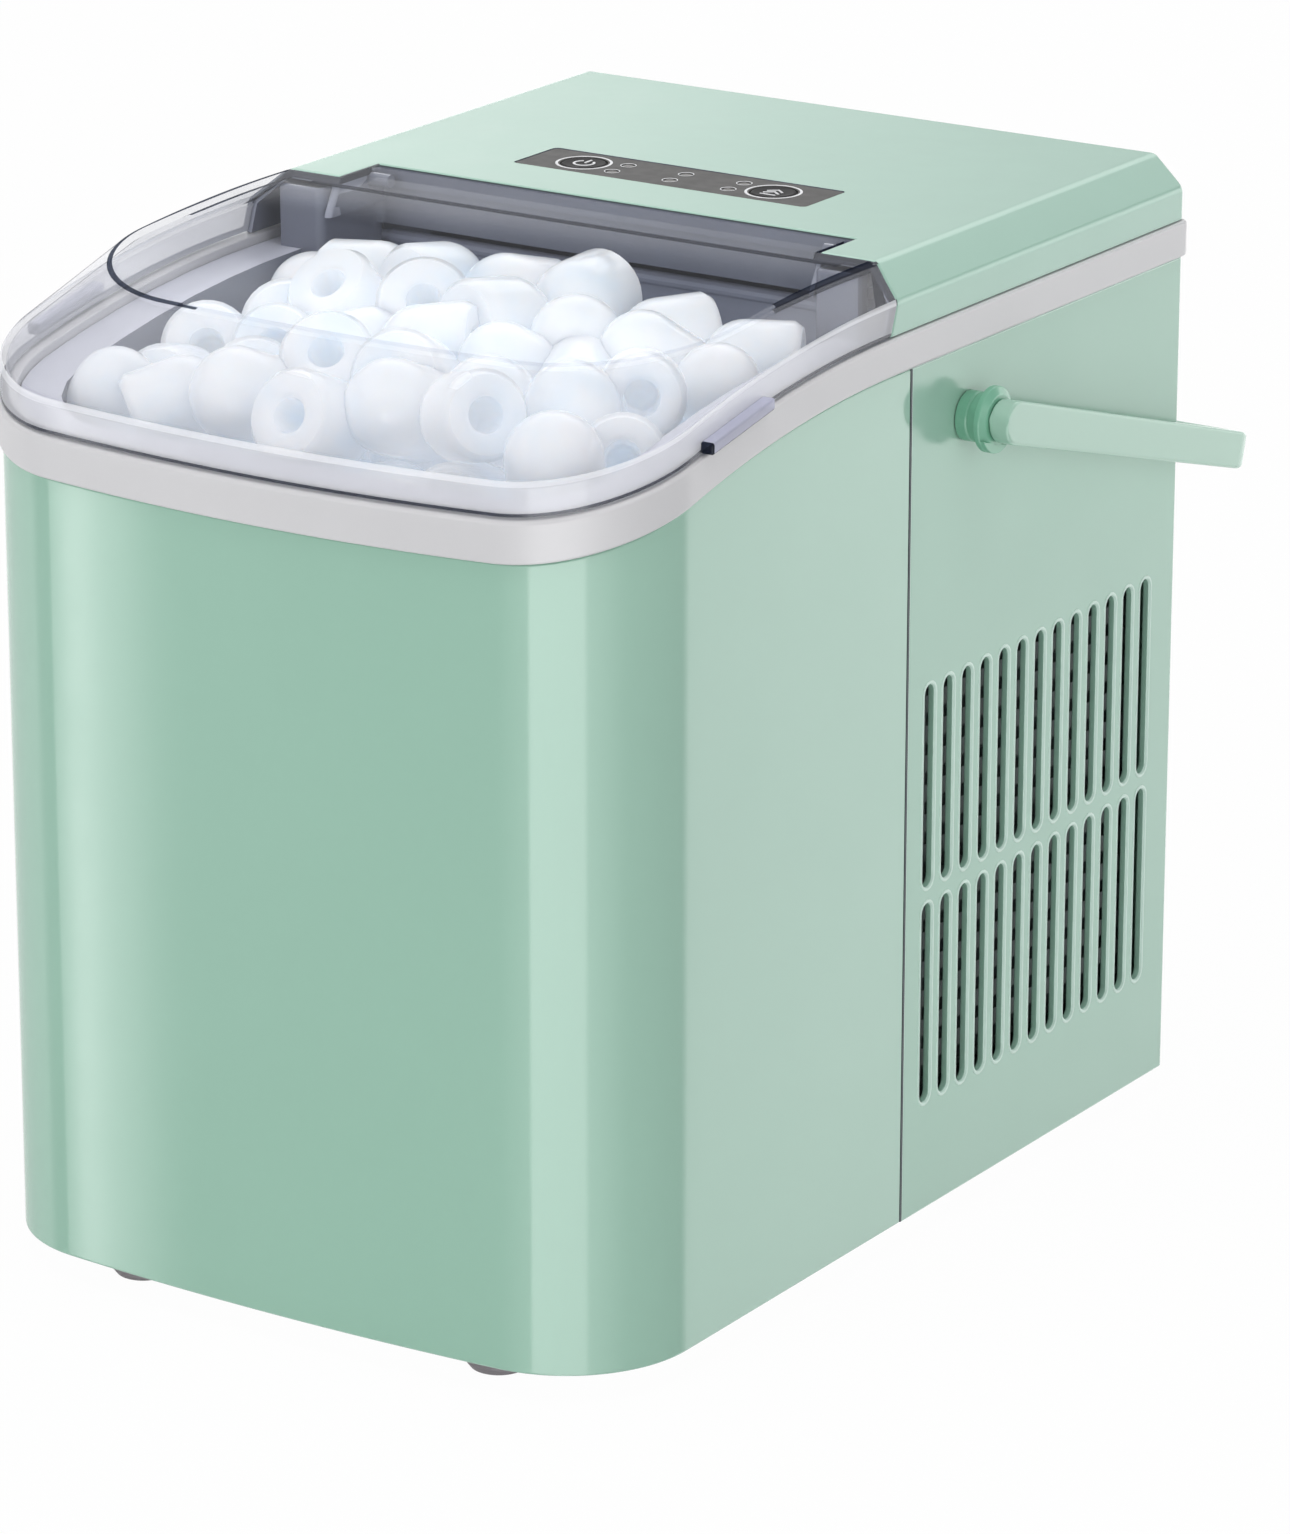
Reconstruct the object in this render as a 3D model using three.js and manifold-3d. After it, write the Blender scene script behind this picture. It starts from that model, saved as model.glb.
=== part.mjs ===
// Countertop bullet-ice maker: an ice bin under a clear lid at the front, a refrigeration
// compartment behind it, and a carry handle that folds back behind the case.
// Millimetres, +Z up, front of the case facing -Y. The origin ends up under the middle of the
// finished machine, on the surface that it stands on.

import * as THREE from 'three';
import { mergeVertices } from 'three/addons/utils/BufferGeometryUtils.js';
import Module from 'manifold-3d';

const wasm = await Module();
wasm.setup();

// ---------------------------------------------------------------- driving dimensions

// Fits between pieces
const fit = 0.3;
const runningGap = 0.6;

// Case
const caseWidth = 222;
const caseDepth = 311.4;
const height = 294.6;
const footHeight = 8;
const caseWall = 2.4;
const frontCornerRadius = 39.7;
const rearCornerRadius = 2;
const frontBowRadius = 939;
const seamY = 0.4;
const rearReturn = 9;

// Swept edges of the band and the lid: flat behind sweepStart, arcs in front of it
const sweepStart = -10;
const coverHeight = 19;
const bandHeight = 10.8;
const bandTopSweep = 450;
const bandBottomSweep = 427;
const lidTopSweep = 646;
const bandProud = 1.5;
const bandInset = 4.5;
const bandLip = 5;

// Top cover
const coverSkin = 2.4;
const coverChamferWidth = 10;
const coverChamferHeight = 9.4;
const earWidth = 29;
const earTopY = -3;
const earCreaseY = -8;
const earBottomY = -11.4;
const notchY = 16.3;
const earWall = 2;
const notchLip = 6;

// Lid
const lidWall = 2;
const lidGap = 0.9;
const lidProud = 0.5;
const lidRimHeight = 8.8;
const lidCreaseInset = 10;
const lidCreaseSetback = 35;
const lidCreaseRadius = 45;
const knuckleRadius = 3.5;
const hingePinRadius = 2;
const hingePinReach = 6.5;
const tabLength = 36;
const tabSetback = 46.7;
const tabReach = 5.4;
const tabThickness = 4;

// Control panel
const panelWidth = 101;
const panelDepth = 22.5;
const panelY = 51.25;
const panelThickness = 2.4;
const panelSink = 0.1;
const panelCorner = 1.5;
const recessFloor = 2;
const buttonInset = 17.5;
const buttonRadius = 6.8;
const buttonCap = 1.2;
const buttonStemRadius = 2.6;
const buttonTravel = 0.8;
const buttonStemLength = 5;
const lampRadius = 2.2;
const lampButtonGap = 12;
const lampSkew = 2.6;
const lampRow = 3.4;
const lightGuideThickness = 1.4;
const boardThickness = 1.6;
const boardDrop = 4;
const boardMargin = 6;
const boardPostRadius = 2.6;

// Carry handle
const pivotY = 31;
const pivotDrop = 20.6;
const bossRadius = 7.3;
const bossReach = 7.3;
const flangeRadius = 9.6;
const flangeThickness = 1.8;
const flangeChamfer = 1.3;
const lugChord = 6.6;
const pivotStemRadius = 4.2;
const pivotStemLength = 9;
const pivotShaftRadius = 3.4;
const pivotShaftLength = 4.6;
const handleSwingGap = 8.4;
const handleBar = 6.2;
const handleRootHeight = 12.6;
const handleTipHeight = 11;
const handleCorner = 12;
const handleFold = 16.35;

// Side vents
const slotPitch = 10.37;
const slotSetback = 12.5;
const slotRearInset = 18;
const slotWidth = 4;
const slotLength = 60.9;
const lowerSlotZ = 41.7;
const slotRowPitch = 66.1;

// Base
const baseThickness = 2.5;
const footRadius = 9.5;
const footInsetRadius = 8;
const footSideInset = 49;
const footFrontInset = 21.7;
const footRearInset = 27.7;
const footPegRadius = 3;
const footPegLength = 6;

// Liner, basket and foam
const linerWall = 2.2;
const binSideInset = 19;
const binFrontInset = 14.7;
const binRearY = 2;
const binFloorZ = 38;
const binCornerRadius = 26;
const chamberRearSpace = 28;
const chamberDepth = 38;
const ledgeDrop = 2.6;
const flangeRear = 8;
const basketGap = 4;
const basketWall = 2;
const basketRimDrop = 43.6;
const basketHeight = 92;
const basketCorner = 22;
const basketRearGap = 10;
const basketHoleColumns = 6;
const basketHoleRows = 3;
const basketHoleMargin = 20;
const basketHoleWidth = 6;
const basketHoleLength = 18;
const railWidth = 8;
const railThickness = 5;

// Hood and splash flap
const hoodWall = 2;
const hoodEarSetback = 1.9;
const hoodEarReach = 15;
const hoodEarDepth = 18.1;
const hoodEdgeLift = 0.9;
const flapBracket = 5;
const flapThickness = 1.6;
const flapDrop = 34;
const flapPinRadius = 1.6;
const flapPinDrop = 3.6;
const flapSetback = 3.4;
const flapSideGap = 3;

// Ice-making group
const evaporatorDrop = 5.6;
const evaporatorThickness = 7;
const evaporatorSideGap = 28;
const evaporatorDepth = 36;
const evaporatorSetback = 22;
const evaporatorArmShift = 8;
const evaporatorArmWidth = 12;
const evaporatorRib = 8;
const fingerRadius = 4.5;
const fingerLength = 30;
const fingerPitch = 26;
const fingerRowGap = 22;
const fingerTrayGap = 6;
const motorSpace = 26;
const trayFlapGap = 2;
const trayDepth = 46;
const trayFloorDrop = 6;
const trayHeight = 26;
const trayWall = 1.8;
const trayPivotInset = 4;
const trayPivotRadius = 3;
const trayPivotLength = 8;
const motorRadius = 16;
const motorBossRadius = 6;
const motorBossLength = 5;
const bearingDepth = 14;

// Ice-level sensors
const sensorY = -40;
const sensorLift = 4;
const sensorWidth = 12;
const sensorHeight = 10;
const sensorReach = 3.4;

// Water circuit
const pumpX = 26;
const pumpRadius = 14;
const pumpLength = 20;
const pumpLift = 6;
const pumpOutletRadius = 3.6;
const pumpOutletHeight = 7;
const waterTubeRadius = 2.8;
const waterTubeInset = 6;
const waterTubeDrop = 5;
const drainInset = 4;
const drainLift = 8;
const drainTubeRadius = 4;
const drainBore = 2.6;
const drainPlugRadius = 7;
const drainPlugThickness = 4;
const drainPlugStem = 8;

// Compressor
const compressorDrainSpace = 54;
const compressorRearGap = 15.3;
const compressorRadius = 46;
const compressorTopSpace = 47.7;
const compressorDome = 26;
const mountPlateRadius = 56;
const mountPlateThickness = 3;
const grommetCount = 3;
const grommetRadius = 8;
const grommetBore = 3.2;
const grommetHeight = 11;
const grommetCircle = 48;
const studRadius = 2.8;
const portRadius = 4;
const portHeight = 8;
const dischargePortAngle = 20;
const suctionPortAngle = 75;
const portCircle = 22;

// Condenser and fan
const condenserThickness = 22;
const condenserGap = 4.6;
const condenserRearGap = 11.8;
const condenserDepth = 122;
const condenserBottomZ = 42;
const condenserTopSpace = 25.8;
const condenserFins = 14;
const finSlot = 4;
const finSlotDepth = 5;
const condenserPlate = 2;
const fanSize = 92;
const fanThickness = 25;
const fanTipGap = 2;
const fanFrameWall = 3.5;
const fanHubRadius = 15;
const fanBladeCount = 7;
const fanBladePitch = 34;
const fanShaftRadius = 2;
const fanStrut = 5;
const fanMotorThickness = 6;

// Refrigerant lines
const dischargeRadius = 2.5;
const suctionRadius = 3;
const liquidRadius = 2;
const capillaryRadius = 1.4;
const drierRadius = 8;
const drierLength = 66;
const drierSideInset = 19;
const drierRearInset = 27.7;
const drierZ = 62;
const lineRise = 12;
const lineBend = 10;
const lineEnd = 4;
const liquidTubeDrop = 6;

// Electrics and rear panel
const powerBoardX = -32;
const powerBoardWidth = 84;
const powerBoardHeight = 58;
const powerBoardDrop = 32.8;
const powerBoardStandoff = 6;
const powerBoardMargin = 6;
const standoffRadius = 3;
const componentMargin = 12;
const transformerWidth = 26;
const transformerDepth = 20;
const transformerHeight = 28;
const relayWidth = 18;
const relayDepth = 14;
const relayHeight = 14;
const capacitorRadius = 7;
const capacitorLength = 22;
const lineWallGap = 4.5;
const inletX = 42;
const inletZ = 33;
const inletWidth = 28;
const inletHeight = 21;
const inletDepth = 18;
const inletFlange = 4;
const inletFlangeThickness = 2;
const screwHeadRadius = 3.6;
const screwShaftRadius = 1.6;
const screwLength = 7;
const screwInset = 12;
const rearScrewLowZ = 70;
const rearScrewTopDrop = 14.8;
const rearGrilleSlots = 9;
const rearGrillePitch = 11;
const rearGrilleZ = 92;
const rearGrilleLength = 70;

// ---------------------------------------------------------------- values that follow

const caseBottom = footHeight;
const halfWidth = caseWidth / 2;
const frontY = -caseDepth / 2;
const rearY = caseDepth / 2;
const bandTop = height - coverHeight;
const bandBottom = bandTop - bandHeight;
const coverBottom = bandTop + fit;
const baseTop = caseBottom + baseThickness;
const creaseX = halfWidth - coverChamferWidth;
const creaseZ = height - coverChamferHeight;
const earInnerX = halfWidth - earWidth;
const tongueHalf = earInnerX - runningGap;
const hingeY = notchY - runningGap - knuckleRadius;
const hingeZ = height - knuckleRadius;
const tabFrontY = frontY + tabSetback;
const pivotZ = bandBottom - pivotDrop;
const handleSwing = Math.hypot(rearY - pivotY, height - pivotZ) + handleSwingGap;
const handleLength = handleSwing + handleBar;
const firstSlotY = seamY + slotSetback;
const slotCount = Math.floor((rearY - slotRearInset - firstSlotY) / slotPitch) + 1;
const upperSlotZ = lowerSlotZ + slotRowPitch;
const binHalfWidth = halfWidth - binSideInset;
const binFrontY = frontY + binFrontInset;
const linerHalfWidth = binHalfWidth + linerWall;
const linerRear = binRearY + linerWall;
const flangeTop = bandTop - ledgeDrop;
const flangeBottom = flangeTop - linerWall;
const innerRearY = rearY - caseWall;
const panelTop = height - panelSink;
const panelBottom = panelTop - panelThickness;
const recessTop = panelBottom - fit;
const recessBottom = recessTop - recessFloor;
const basketTop = bandTop - basketRimDrop;
const basketFloorZ = basketTop - basketHeight;
const hoodY = notchY + earWall + fit;
const flapY = hoodY + flapSetback;
const flapPinZ = bandTop - flapPinDrop;
const evaporatorZ = bandTop - evaporatorDrop;
const evaporatorTop = evaporatorZ + evaporatorThickness;
const evaporatorHalf = binHalfWidth - evaporatorSideGap;
const trayHalfLength = binHalfWidth - motorSpace;
const trayFrontY = flapY + trayFlapGap;
const trayRearY = trayFrontY + trayDepth;
const trayBottomZ = evaporatorZ - fingerLength - trayFloorDrop;
const evaporatorY = trayFrontY + evaporatorSetback;
const evaporatorArmY = evaporatorY - evaporatorArmShift;
const chamberRearY = trayRearY + chamberRearSpace;
const chamberFloorZ = trayBottomZ - chamberDepth;
const chamberUnderside = chamberFloorZ - linerWall;
const condenserTop = chamberUnderside - condenserTopSpace;
const condenserHeight = condenserTop - condenserBottomZ;
const buttonX = panelWidth / 2 - buttonInset;
const lampSpread = buttonX - lampButtonGap;
const pumpZ = binFloorZ + pumpLift;
const drainX = -binHalfWidth + drainInset;
const drainZ = binFloorZ + drainLift;
const compressorX = drainX + compressorDrainSpace;
const compressorY = innerRearY - compressorRearGap - mountPlateRadius;
const condenserY = innerRearY - condenserRearGap - condenserDepth / 2;
const far = 400;

// ---------------------------------------------------------------- geometry helpers

/** Turns a three.js geometry into a solid that can be joined and cut. */
function solid(geometry) {
  const bare = geometry.clone();
  bare.deleteAttribute('normal');
  bare.deleteAttribute('uv');
  const merged = mergeVertices(bare, 1e-4);
  const mesh = new wasm.Mesh({
    numProp: 3,
    vertProperties: Float32Array.from(merged.attributes.position.array),
    triVerts: Uint32Array.from(merged.index.array),
  });
  return new wasm.Manifold(mesh);
}

function box(x0, x1, y0, y1, z0, z1) {
  const geometry = new THREE.BoxGeometry(x1 - x0, y1 - y0, z1 - z0);
  geometry.translate((x0 + x1) / 2, (y0 + y1) / 2, (z0 + z1) / 2);
  return solid(geometry);
}

function points(pairs) {
  return pairs.map(([x, y]) => new THREE.Vector2(x, y));
}

/** Points on an arc, both ends included, angles in radians. */
function arc(cx, cy, radius, from, to, segments) {
  const curve = new THREE.EllipseCurve(cx, cy, radius, radius, from, to, to < from, 0);
  return curve.getPoints(segments);
}

function extrude(outline, length, holes = []) {
  const shape = new THREE.Shape(outline);
  shape.holes = holes.map((hole) => new THREE.Path(hole));
  return new THREE.ExtrudeGeometry(shape, { depth: length, bevelEnabled: false });
}

/** An outline in X and Y, raised from z0 to z1. */
function prismZ(outline, z0, z1, holes) {
  const geometry = extrude(outline, z1 - z0, holes);
  geometry.translate(0, 0, z0);
  return solid(geometry);
}

/** An outline in Y and Z, drawn out from x0 to x1. */
function prismX(outline, x0, x1, holes) {
  const geometry = extrude(outline, x1 - x0, holes);
  const turn = new THREE.Matrix4().makeBasis(
    new THREE.Vector3(0, 1, 0),
    new THREE.Vector3(0, 0, 1),
    new THREE.Vector3(1, 0, 0),
  );
  geometry.applyMatrix4(turn);
  geometry.translate(x0, 0, 0);
  return solid(geometry);
}

/** An outline in X and Z, drawn out from y0 to y1. */
function prismY(outline, y0, y1, holes) {
  const geometry = extrude(outline, y1 - y0, holes);
  geometry.rotateX(Math.PI / 2);
  geometry.translate(0, y1, 0);
  return solid(geometry);
}

/** A turned solid: pairs of radius and distance along the axis, from axis to axis. */
function turned(profile, axis, centre, segments = 16) {
  const geometry = new THREE.LatheGeometry(points(profile), segments);
  if (axis === 'x') geometry.rotateZ(-Math.PI / 2);
  if (axis === 'z') geometry.rotateX(Math.PI / 2);
  geometry.translate(...centre);
  return solid(geometry);
}

/** A plain rod from one end to the other along an axis through centre. */
function rod(axis, centre, radius, from, to, segments = 12) {
  return turned([[0, from], [radius, from], [radius, to], [0, to]], axis, centre, segments);
}

/** A tube or wire along a smooth curve through the given places. */
function tube(places, radius, steps, sides = 8) {
  const path = new THREE.CatmullRomCurve3(places.map((p) => new THREE.Vector3(...p)), false,
    'centripetal');
  const section = new THREE.Shape(arc(0, 0, radius, 0, 2 * Math.PI, sides).slice(0, -1));
  return solid(new THREE.ExtrudeGeometry(section, {
    steps, extrudePath: path, bevelEnabled: false,
  }));
}

function union(solids) {
  return solids.reduce((whole, piece) => whole.add(piece));
}

function mirrorX(manifoldMaker) {
  return [1, -1].map((side) => manifoldMaker(side));
}

function boxOnSide(side, x0, x1, y0, y1, z0, z1) {
  return side > 0 ? box(x0, x1, y0, y1, z0, z1) : box(-x1, -x0, y0, y1, z0, z1);
}

const group = new THREE.Group();

function addPiece(name, manifold, colour, roughness, metalness = 0, extra = {}) {
  const data = manifold.getMesh();
  const geometry = new THREE.BufferGeometry();
  geometry.setAttribute('position', new THREE.BufferAttribute(data.vertProperties, 3));
  geometry.setIndex(new THREE.BufferAttribute(data.triVerts, 1));
  geometry.computeVertexNormals();
  const material = new THREE.MeshStandardMaterial({ color: colour, roughness, metalness, ...extra });
  const mesh = new THREE.Mesh(geometry, material);
  mesh.name = name;
  group.add(mesh);
  return mesh;
}

const colour = {
  mint: 0xa4cbb9,
  cover: 0xc8dbd2,
  band: 0xdcdad8,
  dark: 0x5a5f6b,
  grey: 0x82807d,
  black: 0x2a2b2d,
  foot: 0x7d7a7c,
  clear: 0xe8ecef,
  foam: 0xf2f2ee,
  white: 0xeceeee,
  steel: 0xb9bcc0,
  copper: 0xc47f4e,
  board: 0x2f6b47,
  rubber: 0x303133,
};

// ---------------------------------------------------------------- outlines shared by pieces

/** Half of the way round a bowed front: corner centre, bow centre and the bow's half angle. */
function bowedFront(halfX, front, corner, bow) {
  const cornerX = halfX - corner;
  const bowY = front + bow;
  const cornerY = bowY - Math.sqrt((bow - corner) ** 2 - cornerX ** 2);
  return { cornerX, cornerY, bowY, half: Math.atan2(cornerX, bowY - cornerY) };
}

/** The plan of the case, grown or shrunk by an even distance. */
function casePlan(grow) {
  const front = bowedFront(halfWidth, frontY, frontCornerRadius, frontBowRadius);
  const rear = Math.max(rearCornerRadius + grow, 0.6);
  const x = halfWidth + grow;
  const y = rearY + grow;
  const corner = frontCornerRadius + grow;
  const down = 1.5 * Math.PI;
  return [
    ...arc(x - rear, y - rear, rear, 0, Math.PI / 2, 3),
    ...arc(-x + rear, y - rear, rear, Math.PI / 2, Math.PI, 3),
    ...arc(-front.cornerX, front.cornerY, corner, Math.PI, down - front.half, 7),
    ...arc(0, front.bowY, frontBowRadius + grow, down - front.half, down + front.half, 6).slice(1, -1),
    ...arc(front.cornerX, front.cornerY, corner, down + front.half, 2 * Math.PI, 7),
  ];
}

/** How high a swept edge lies at y: level behind sweepStart, on an arc in front of it. */
function sweptZ(y, rearZ, radius) {
  const run = Math.max(sweepStart - y, 0);
  return rearZ - radius + Math.sqrt(radius ** 2 - run ** 2);
}

/** A swept edge as points from front to rear. */
function sweptEdge(rearZ, radius, steps = 9) {
  const reach = caseDepth / 2 + 8;
  const end = Math.asin((reach + sweepStart) / radius);
  const bend = arc(sweepStart, rearZ - radius, radius, Math.PI / 2 + end, Math.PI / 2, steps);
  return [...bend, new THREE.Vector2(reach, rearZ)];
}

function below(edge) {
  const first = edge[0];
  const last = edge[edge.length - 1];
  return prismX([...edge, ...points([[last.x, -20], [first.x, -20]])], -far, far);
}

function between(lower, upper) {
  return prismX([...lower, ...[...upper].reverse()], -far, far);
}

/** A rectangle with one radius at the front corners and another at the rear ones. */
function roundedPlan(x0, x1, y0, y1, frontRadius, rearRadius, segments = 5) {
  const f = frontRadius;
  const r = rearRadius;
  return [
    ...arc(x1 - r, y1 - r, r, 0, Math.PI / 2, segments),
    ...arc(x0 + r, y1 - r, r, Math.PI / 2, Math.PI, segments),
    ...arc(x0 + f, y0 + f, f, Math.PI, 1.5 * Math.PI, segments),
    ...arc(x1 - f, y0 + f, f, 1.5 * Math.PI, 2 * Math.PI, segments),
  ];
}

/** A slot with round ends that stands upright in an outline. */
function slotOutline(across, from, to, width, segments = 3) {
  const r = width / 2;
  return [
    ...arc(across, from + r, r, Math.PI, 2 * Math.PI, segments),
    ...arc(across, to - r, r, 0, Math.PI, segments),
  ];
}

function circleOutline(x, y, radius, segments = 12) {
  return arc(x, y, radius, 0, 2 * Math.PI, segments).slice(0, -1);
}

// ---------------------------------------------------------------- case

function makeFrontShell() {
  const ring = prismZ(casePlan(0), caseBottom, bandTop, [casePlan(-caseWall)]);
  const front = box(-far, far, -far, seamY - fit / 2, 0, far);
  const top = below(sweptEdge(bandBottom - fit, bandBottomSweep));
  return ring.intersect(front).intersect(top);
}

function sideSlots() {
  const slots = [];
  for (let i = 0; i < slotCount; i += 1) {
    const y = firstSlotY + i * slotPitch;
    slots.push(slotOutline(y, lowerSlotZ, lowerSlotZ + slotLength, slotWidth));
    slots.push(slotOutline(y, upperSlotZ, upperSlotZ + slotLength, slotWidth));
  }
  return slots;
}

function makeSidePanel(side) {
  const top = bandBottom - fit;
  const front = seamY + fit / 2;
  const ring = prismZ(casePlan(0), caseBottom, top, [casePlan(-caseWall)]);
  const keep = boxOnSide(side, halfWidth - rearReturn, far, rearY - rearReturn, far, 0, far);
  const overlap = 1;
  const outline = points([
    [front, caseBottom], [rearY - rearReturn + overlap, caseBottom],
    [rearY - rearReturn + overlap, top], [front, top],
  ]);
  const pivotHole = circleOutline(pivotY, pivotZ, pivotStemRadius + fit);
  const inner = halfWidth - caseWall;
  const [x0, x1] = side > 0 ? [inner, halfWidth] : [-halfWidth, -inner];
  return prismX(outline, x0, x1, [...sideSlots(), pivotHole]).add(ring.intersect(keep));
}

const rearScrews = [];
for (const side of [-1, 1]) {
  for (const z of [rearScrewLowZ, bandBottom - rearScrewTopDrop]) {
    rearScrews.push([side * (halfWidth - rearReturn - screwInset), z]);
  }
}

function makeRearPanel() {
  const half = halfWidth - rearReturn - fit;
  const outline = points([
    [-half, caseBottom], [half, caseBottom], [half, bandBottom - fit], [-half, bandBottom - fit],
  ]);
  const holes = rearScrews.map(([x, z]) => circleOutline(x, z, screwShaftRadius + fit, 8));
  const w = inletWidth / 2 + fit;
  const h = inletHeight / 2 + fit;
  holes.push(points([
    [inletX - w, inletZ - h], [inletX + w, inletZ - h], [inletX + w, inletZ + h], [inletX - w, inletZ + h],
  ]));
  holes.push(circleOutline(drainX, drainZ, drainTubeRadius + fit));
  const firstX = compressorX - ((rearGrilleSlots - 1) / 2) * rearGrillePitch;
  for (let i = 0; i < rearGrilleSlots; i += 1) {
    const x = firstX + i * rearGrillePitch;
    holes.push(slotOutline(x, rearGrilleZ, rearGrilleZ + rearGrilleLength, slotWidth));
  }
  return prismY(outline, innerRearY, rearY, holes);
}

function makeRearScrew([x, z]) {
  const seat = rearY + fit;
  const profile = [
    [0, seat - screwLength], [screwShaftRadius, seat - screwLength], [screwShaftRadius, seat],
    [screwHeadRadius, seat], [screwHeadRadius, seat + 0.8], [screwHeadRadius * 0.55, seat + 1.8],
    [0, seat + 2],
  ];
  return turned(profile, 'y', [x, 0, z], 8);
}

const footX = halfWidth - footSideInset;
const feet = {
  foot_front_left: [-footX, frontY + footFrontInset],
  foot_front_right: [footX, frontY + footFrontInset],
  foot_rear_left: [-footX, rearY - footRearInset],
  foot_rear_right: [footX, rearY - footRearInset],
};

const studs = [];
for (let i = 0; i < grommetCount; i += 1) {
  const angle = Math.PI / 2 + (i * 2 * Math.PI) / grommetCount;
  studs.push([
    compressorX + grommetCircle * Math.cos(angle),
    compressorY + grommetCircle * Math.sin(angle),
  ]);
}

function makeBasePan() {
  const holes = Object.values(feet).map(([x, y]) => circleOutline(x, y, footPegRadius + fit, 12));
  const plate = prismZ(casePlan(-caseWall - fit), caseBottom, baseTop, holes);
  const posts = studs.map(([x, y]) => (
    rod('z', [x, y, 0], studRadius, caseBottom + 1, baseTop + grommetHeight, 12)));
  return union([plate, ...posts]);
}

function makeFoot([x, y]) {
  const top = caseBottom - fit;
  const profile = [
    [0, 0], [footInsetRadius, 0], [footRadius, 2], [footRadius, top],
    [footPegRadius, top], [footPegRadius, top + footPegLength], [0, top + footPegLength],
  ];
  return turned(profile, 'z', [x, y, 0], 16);
}

function makeTrimBand() {
  const lower = sweptEdge(bandBottom, bandBottomSweep);
  const outer = prismZ(casePlan(bandProud), 0, far, [casePlan(-bandInset)]);
  const rim = outer.intersect(between(lower, sweptEdge(bandTop, bandTopSweep)));
  const inner = prismZ(casePlan(-bandInset + 1), 0, far, [casePlan(-bandInset - bandLip)]);
  const lip = inner.intersect(between(lower, sweptEdge(flangeBottom - fit, bandTopSweep)));
  return rim.add(lip);
}

addPiece('front_shell', makeFrontShell(), colour.mint, 0.22);
addPiece('right_side_panel', makeSidePanel(1), colour.mint, 0.3);
addPiece('left_side_panel', makeSidePanel(-1), colour.mint, 0.3);
addPiece('rear_panel', makeRearPanel(), colour.mint, 0.35);
rearScrews.forEach((place, i) => {
  addPiece(`rear_screw_${i + 1}`, makeRearScrew(place), colour.steel, 0.35, 0.9);
});
addPiece('base_pan', makeBasePan(), colour.steel, 0.5, 0.7);
for (const [name, place] of Object.entries(feet)) {
  addPiece(name, makeFoot(place), colour.foot, 0.75);
}
addPiece('trim_band', makeTrimBand(), colour.band, 0.4);

// ---------------------------------------------------------------- top cover

/** Across the cover: flat top, sloped shoulders, upright sides; inset gives its inside. */
function coverSection(inset) {
  const lean = inset * Math.tan(Math.PI / 8);
  const x = halfWidth - inset;
  const bottom = coverBottom - (inset > 0 ? 5 : 0);
  return points([
    [-x, bottom], [x, bottom], [x, creaseZ - lean], [creaseX - lean, height - inset],
    [-creaseX + lean, height - inset], [-x, creaseZ - lean],
  ]);
}

/** Side view of everything behind the slanted front ends of the cover's ears. */
function earOutline(shift) {
  return points([
    [earTopY + shift, height + 5], [earTopY + shift, height], [earCreaseY + shift, creaseZ],
    [earBottomY + shift, coverBottom], [earBottomY + shift, coverBottom - 8],
    [far, coverBottom - 8], [far, height + 5],
  ]);
}

function rectangle(x0, x1, y0, y1) {
  return points([[x0, y0], [x1, y0], [x1, y1], [x0, y1]]);
}

function makeTopCover() {
  const block = prismY(coverSection(0), -far, rearY + 1);
  const plan = prismZ(casePlan(0), 0, far);
  const earsBack = prismX(earOutline(0), -far, far);
  const notch = box(-earInnerX, earInnerX, -far, notchY, 0, far);
  const outside = block.intersect(plan).intersect(earsBack).subtract(notch);
  const inside = prismY(coverSection(coverSkin), -far, rearY - coverSkin);
  const recess = panelDepth / 2 + 4;
  const walls = union([
    box(-earInnerX - earWall, -earInnerX, -far, notchY + earWall, creaseZ - 2, height),
    box(earInnerX, earInnerX + earWall, -far, notchY + earWall, creaseZ - 2, height),
    box(-earInnerX - 1, earInnerX + 1, notchY, notchY + earWall, height - notchLip, height),
    box(-panelWidth / 2 - 4, panelWidth / 2 + 4, panelY - recess, panelY + recess, recessBottom, height),
  ]);
  const posts = union(boardPosts().map(([x, y]) => (
    rod('z', [x, y, 0], boardPostRadius, boardTop + fit, height - 1, 12))));
  const pinHole = rod('x', [0, hingeY, hingeZ], hingePinRadius + fit, -far, far, 12);
  const w = panelWidth / 2 + fit;
  const d = panelDepth / 2 + fit;
  const pocket = prismZ(roundedPlan(-w, w, panelY - d, panelY + d, panelCorner, panelCorner, 3),
    recessTop, far);
  const stems = union(mirrorX((side) => (
    rod('z', [side * buttonX, panelY, 0], buttonStemRadius + fit, 0, far, 16))));
  const lamps = union(lampPlaces().map(([x, y]) => (
    rod('z', [x, y, 0], lampRadius + fit, 0, far, 8))));
  const pinZone = box(-earInnerX - earWall - fit, earInnerX + earWall + fit, hingeY - 6, notchY + 1, 0, far);
  return outside.subtract(inside)
    .add(walls.intersect(outside))
    .add(posts)
    .subtract(pinHole.intersect(pinZone))
    .subtract(pocket)
    .subtract(stems)
    .subtract(lamps);
}

/** Six lamps in three pairs, each pair set on a slant between the buttons. */
function lampPlaces() {
  const places = [];
  for (const pair of [-1, 0, 1]) {
    places.push([pair * lampSpread + lampSkew, panelY + lampRow]);
    places.push([pair * lampSpread - lampSkew, panelY - lampRow]);
  }
  return places;
}

const boardTop = recessBottom - boardDrop;

function boardPosts() {
  const x = panelWidth / 2 - boardMargin;
  return [[-x, panelY], [x, panelY]];
}

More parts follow.
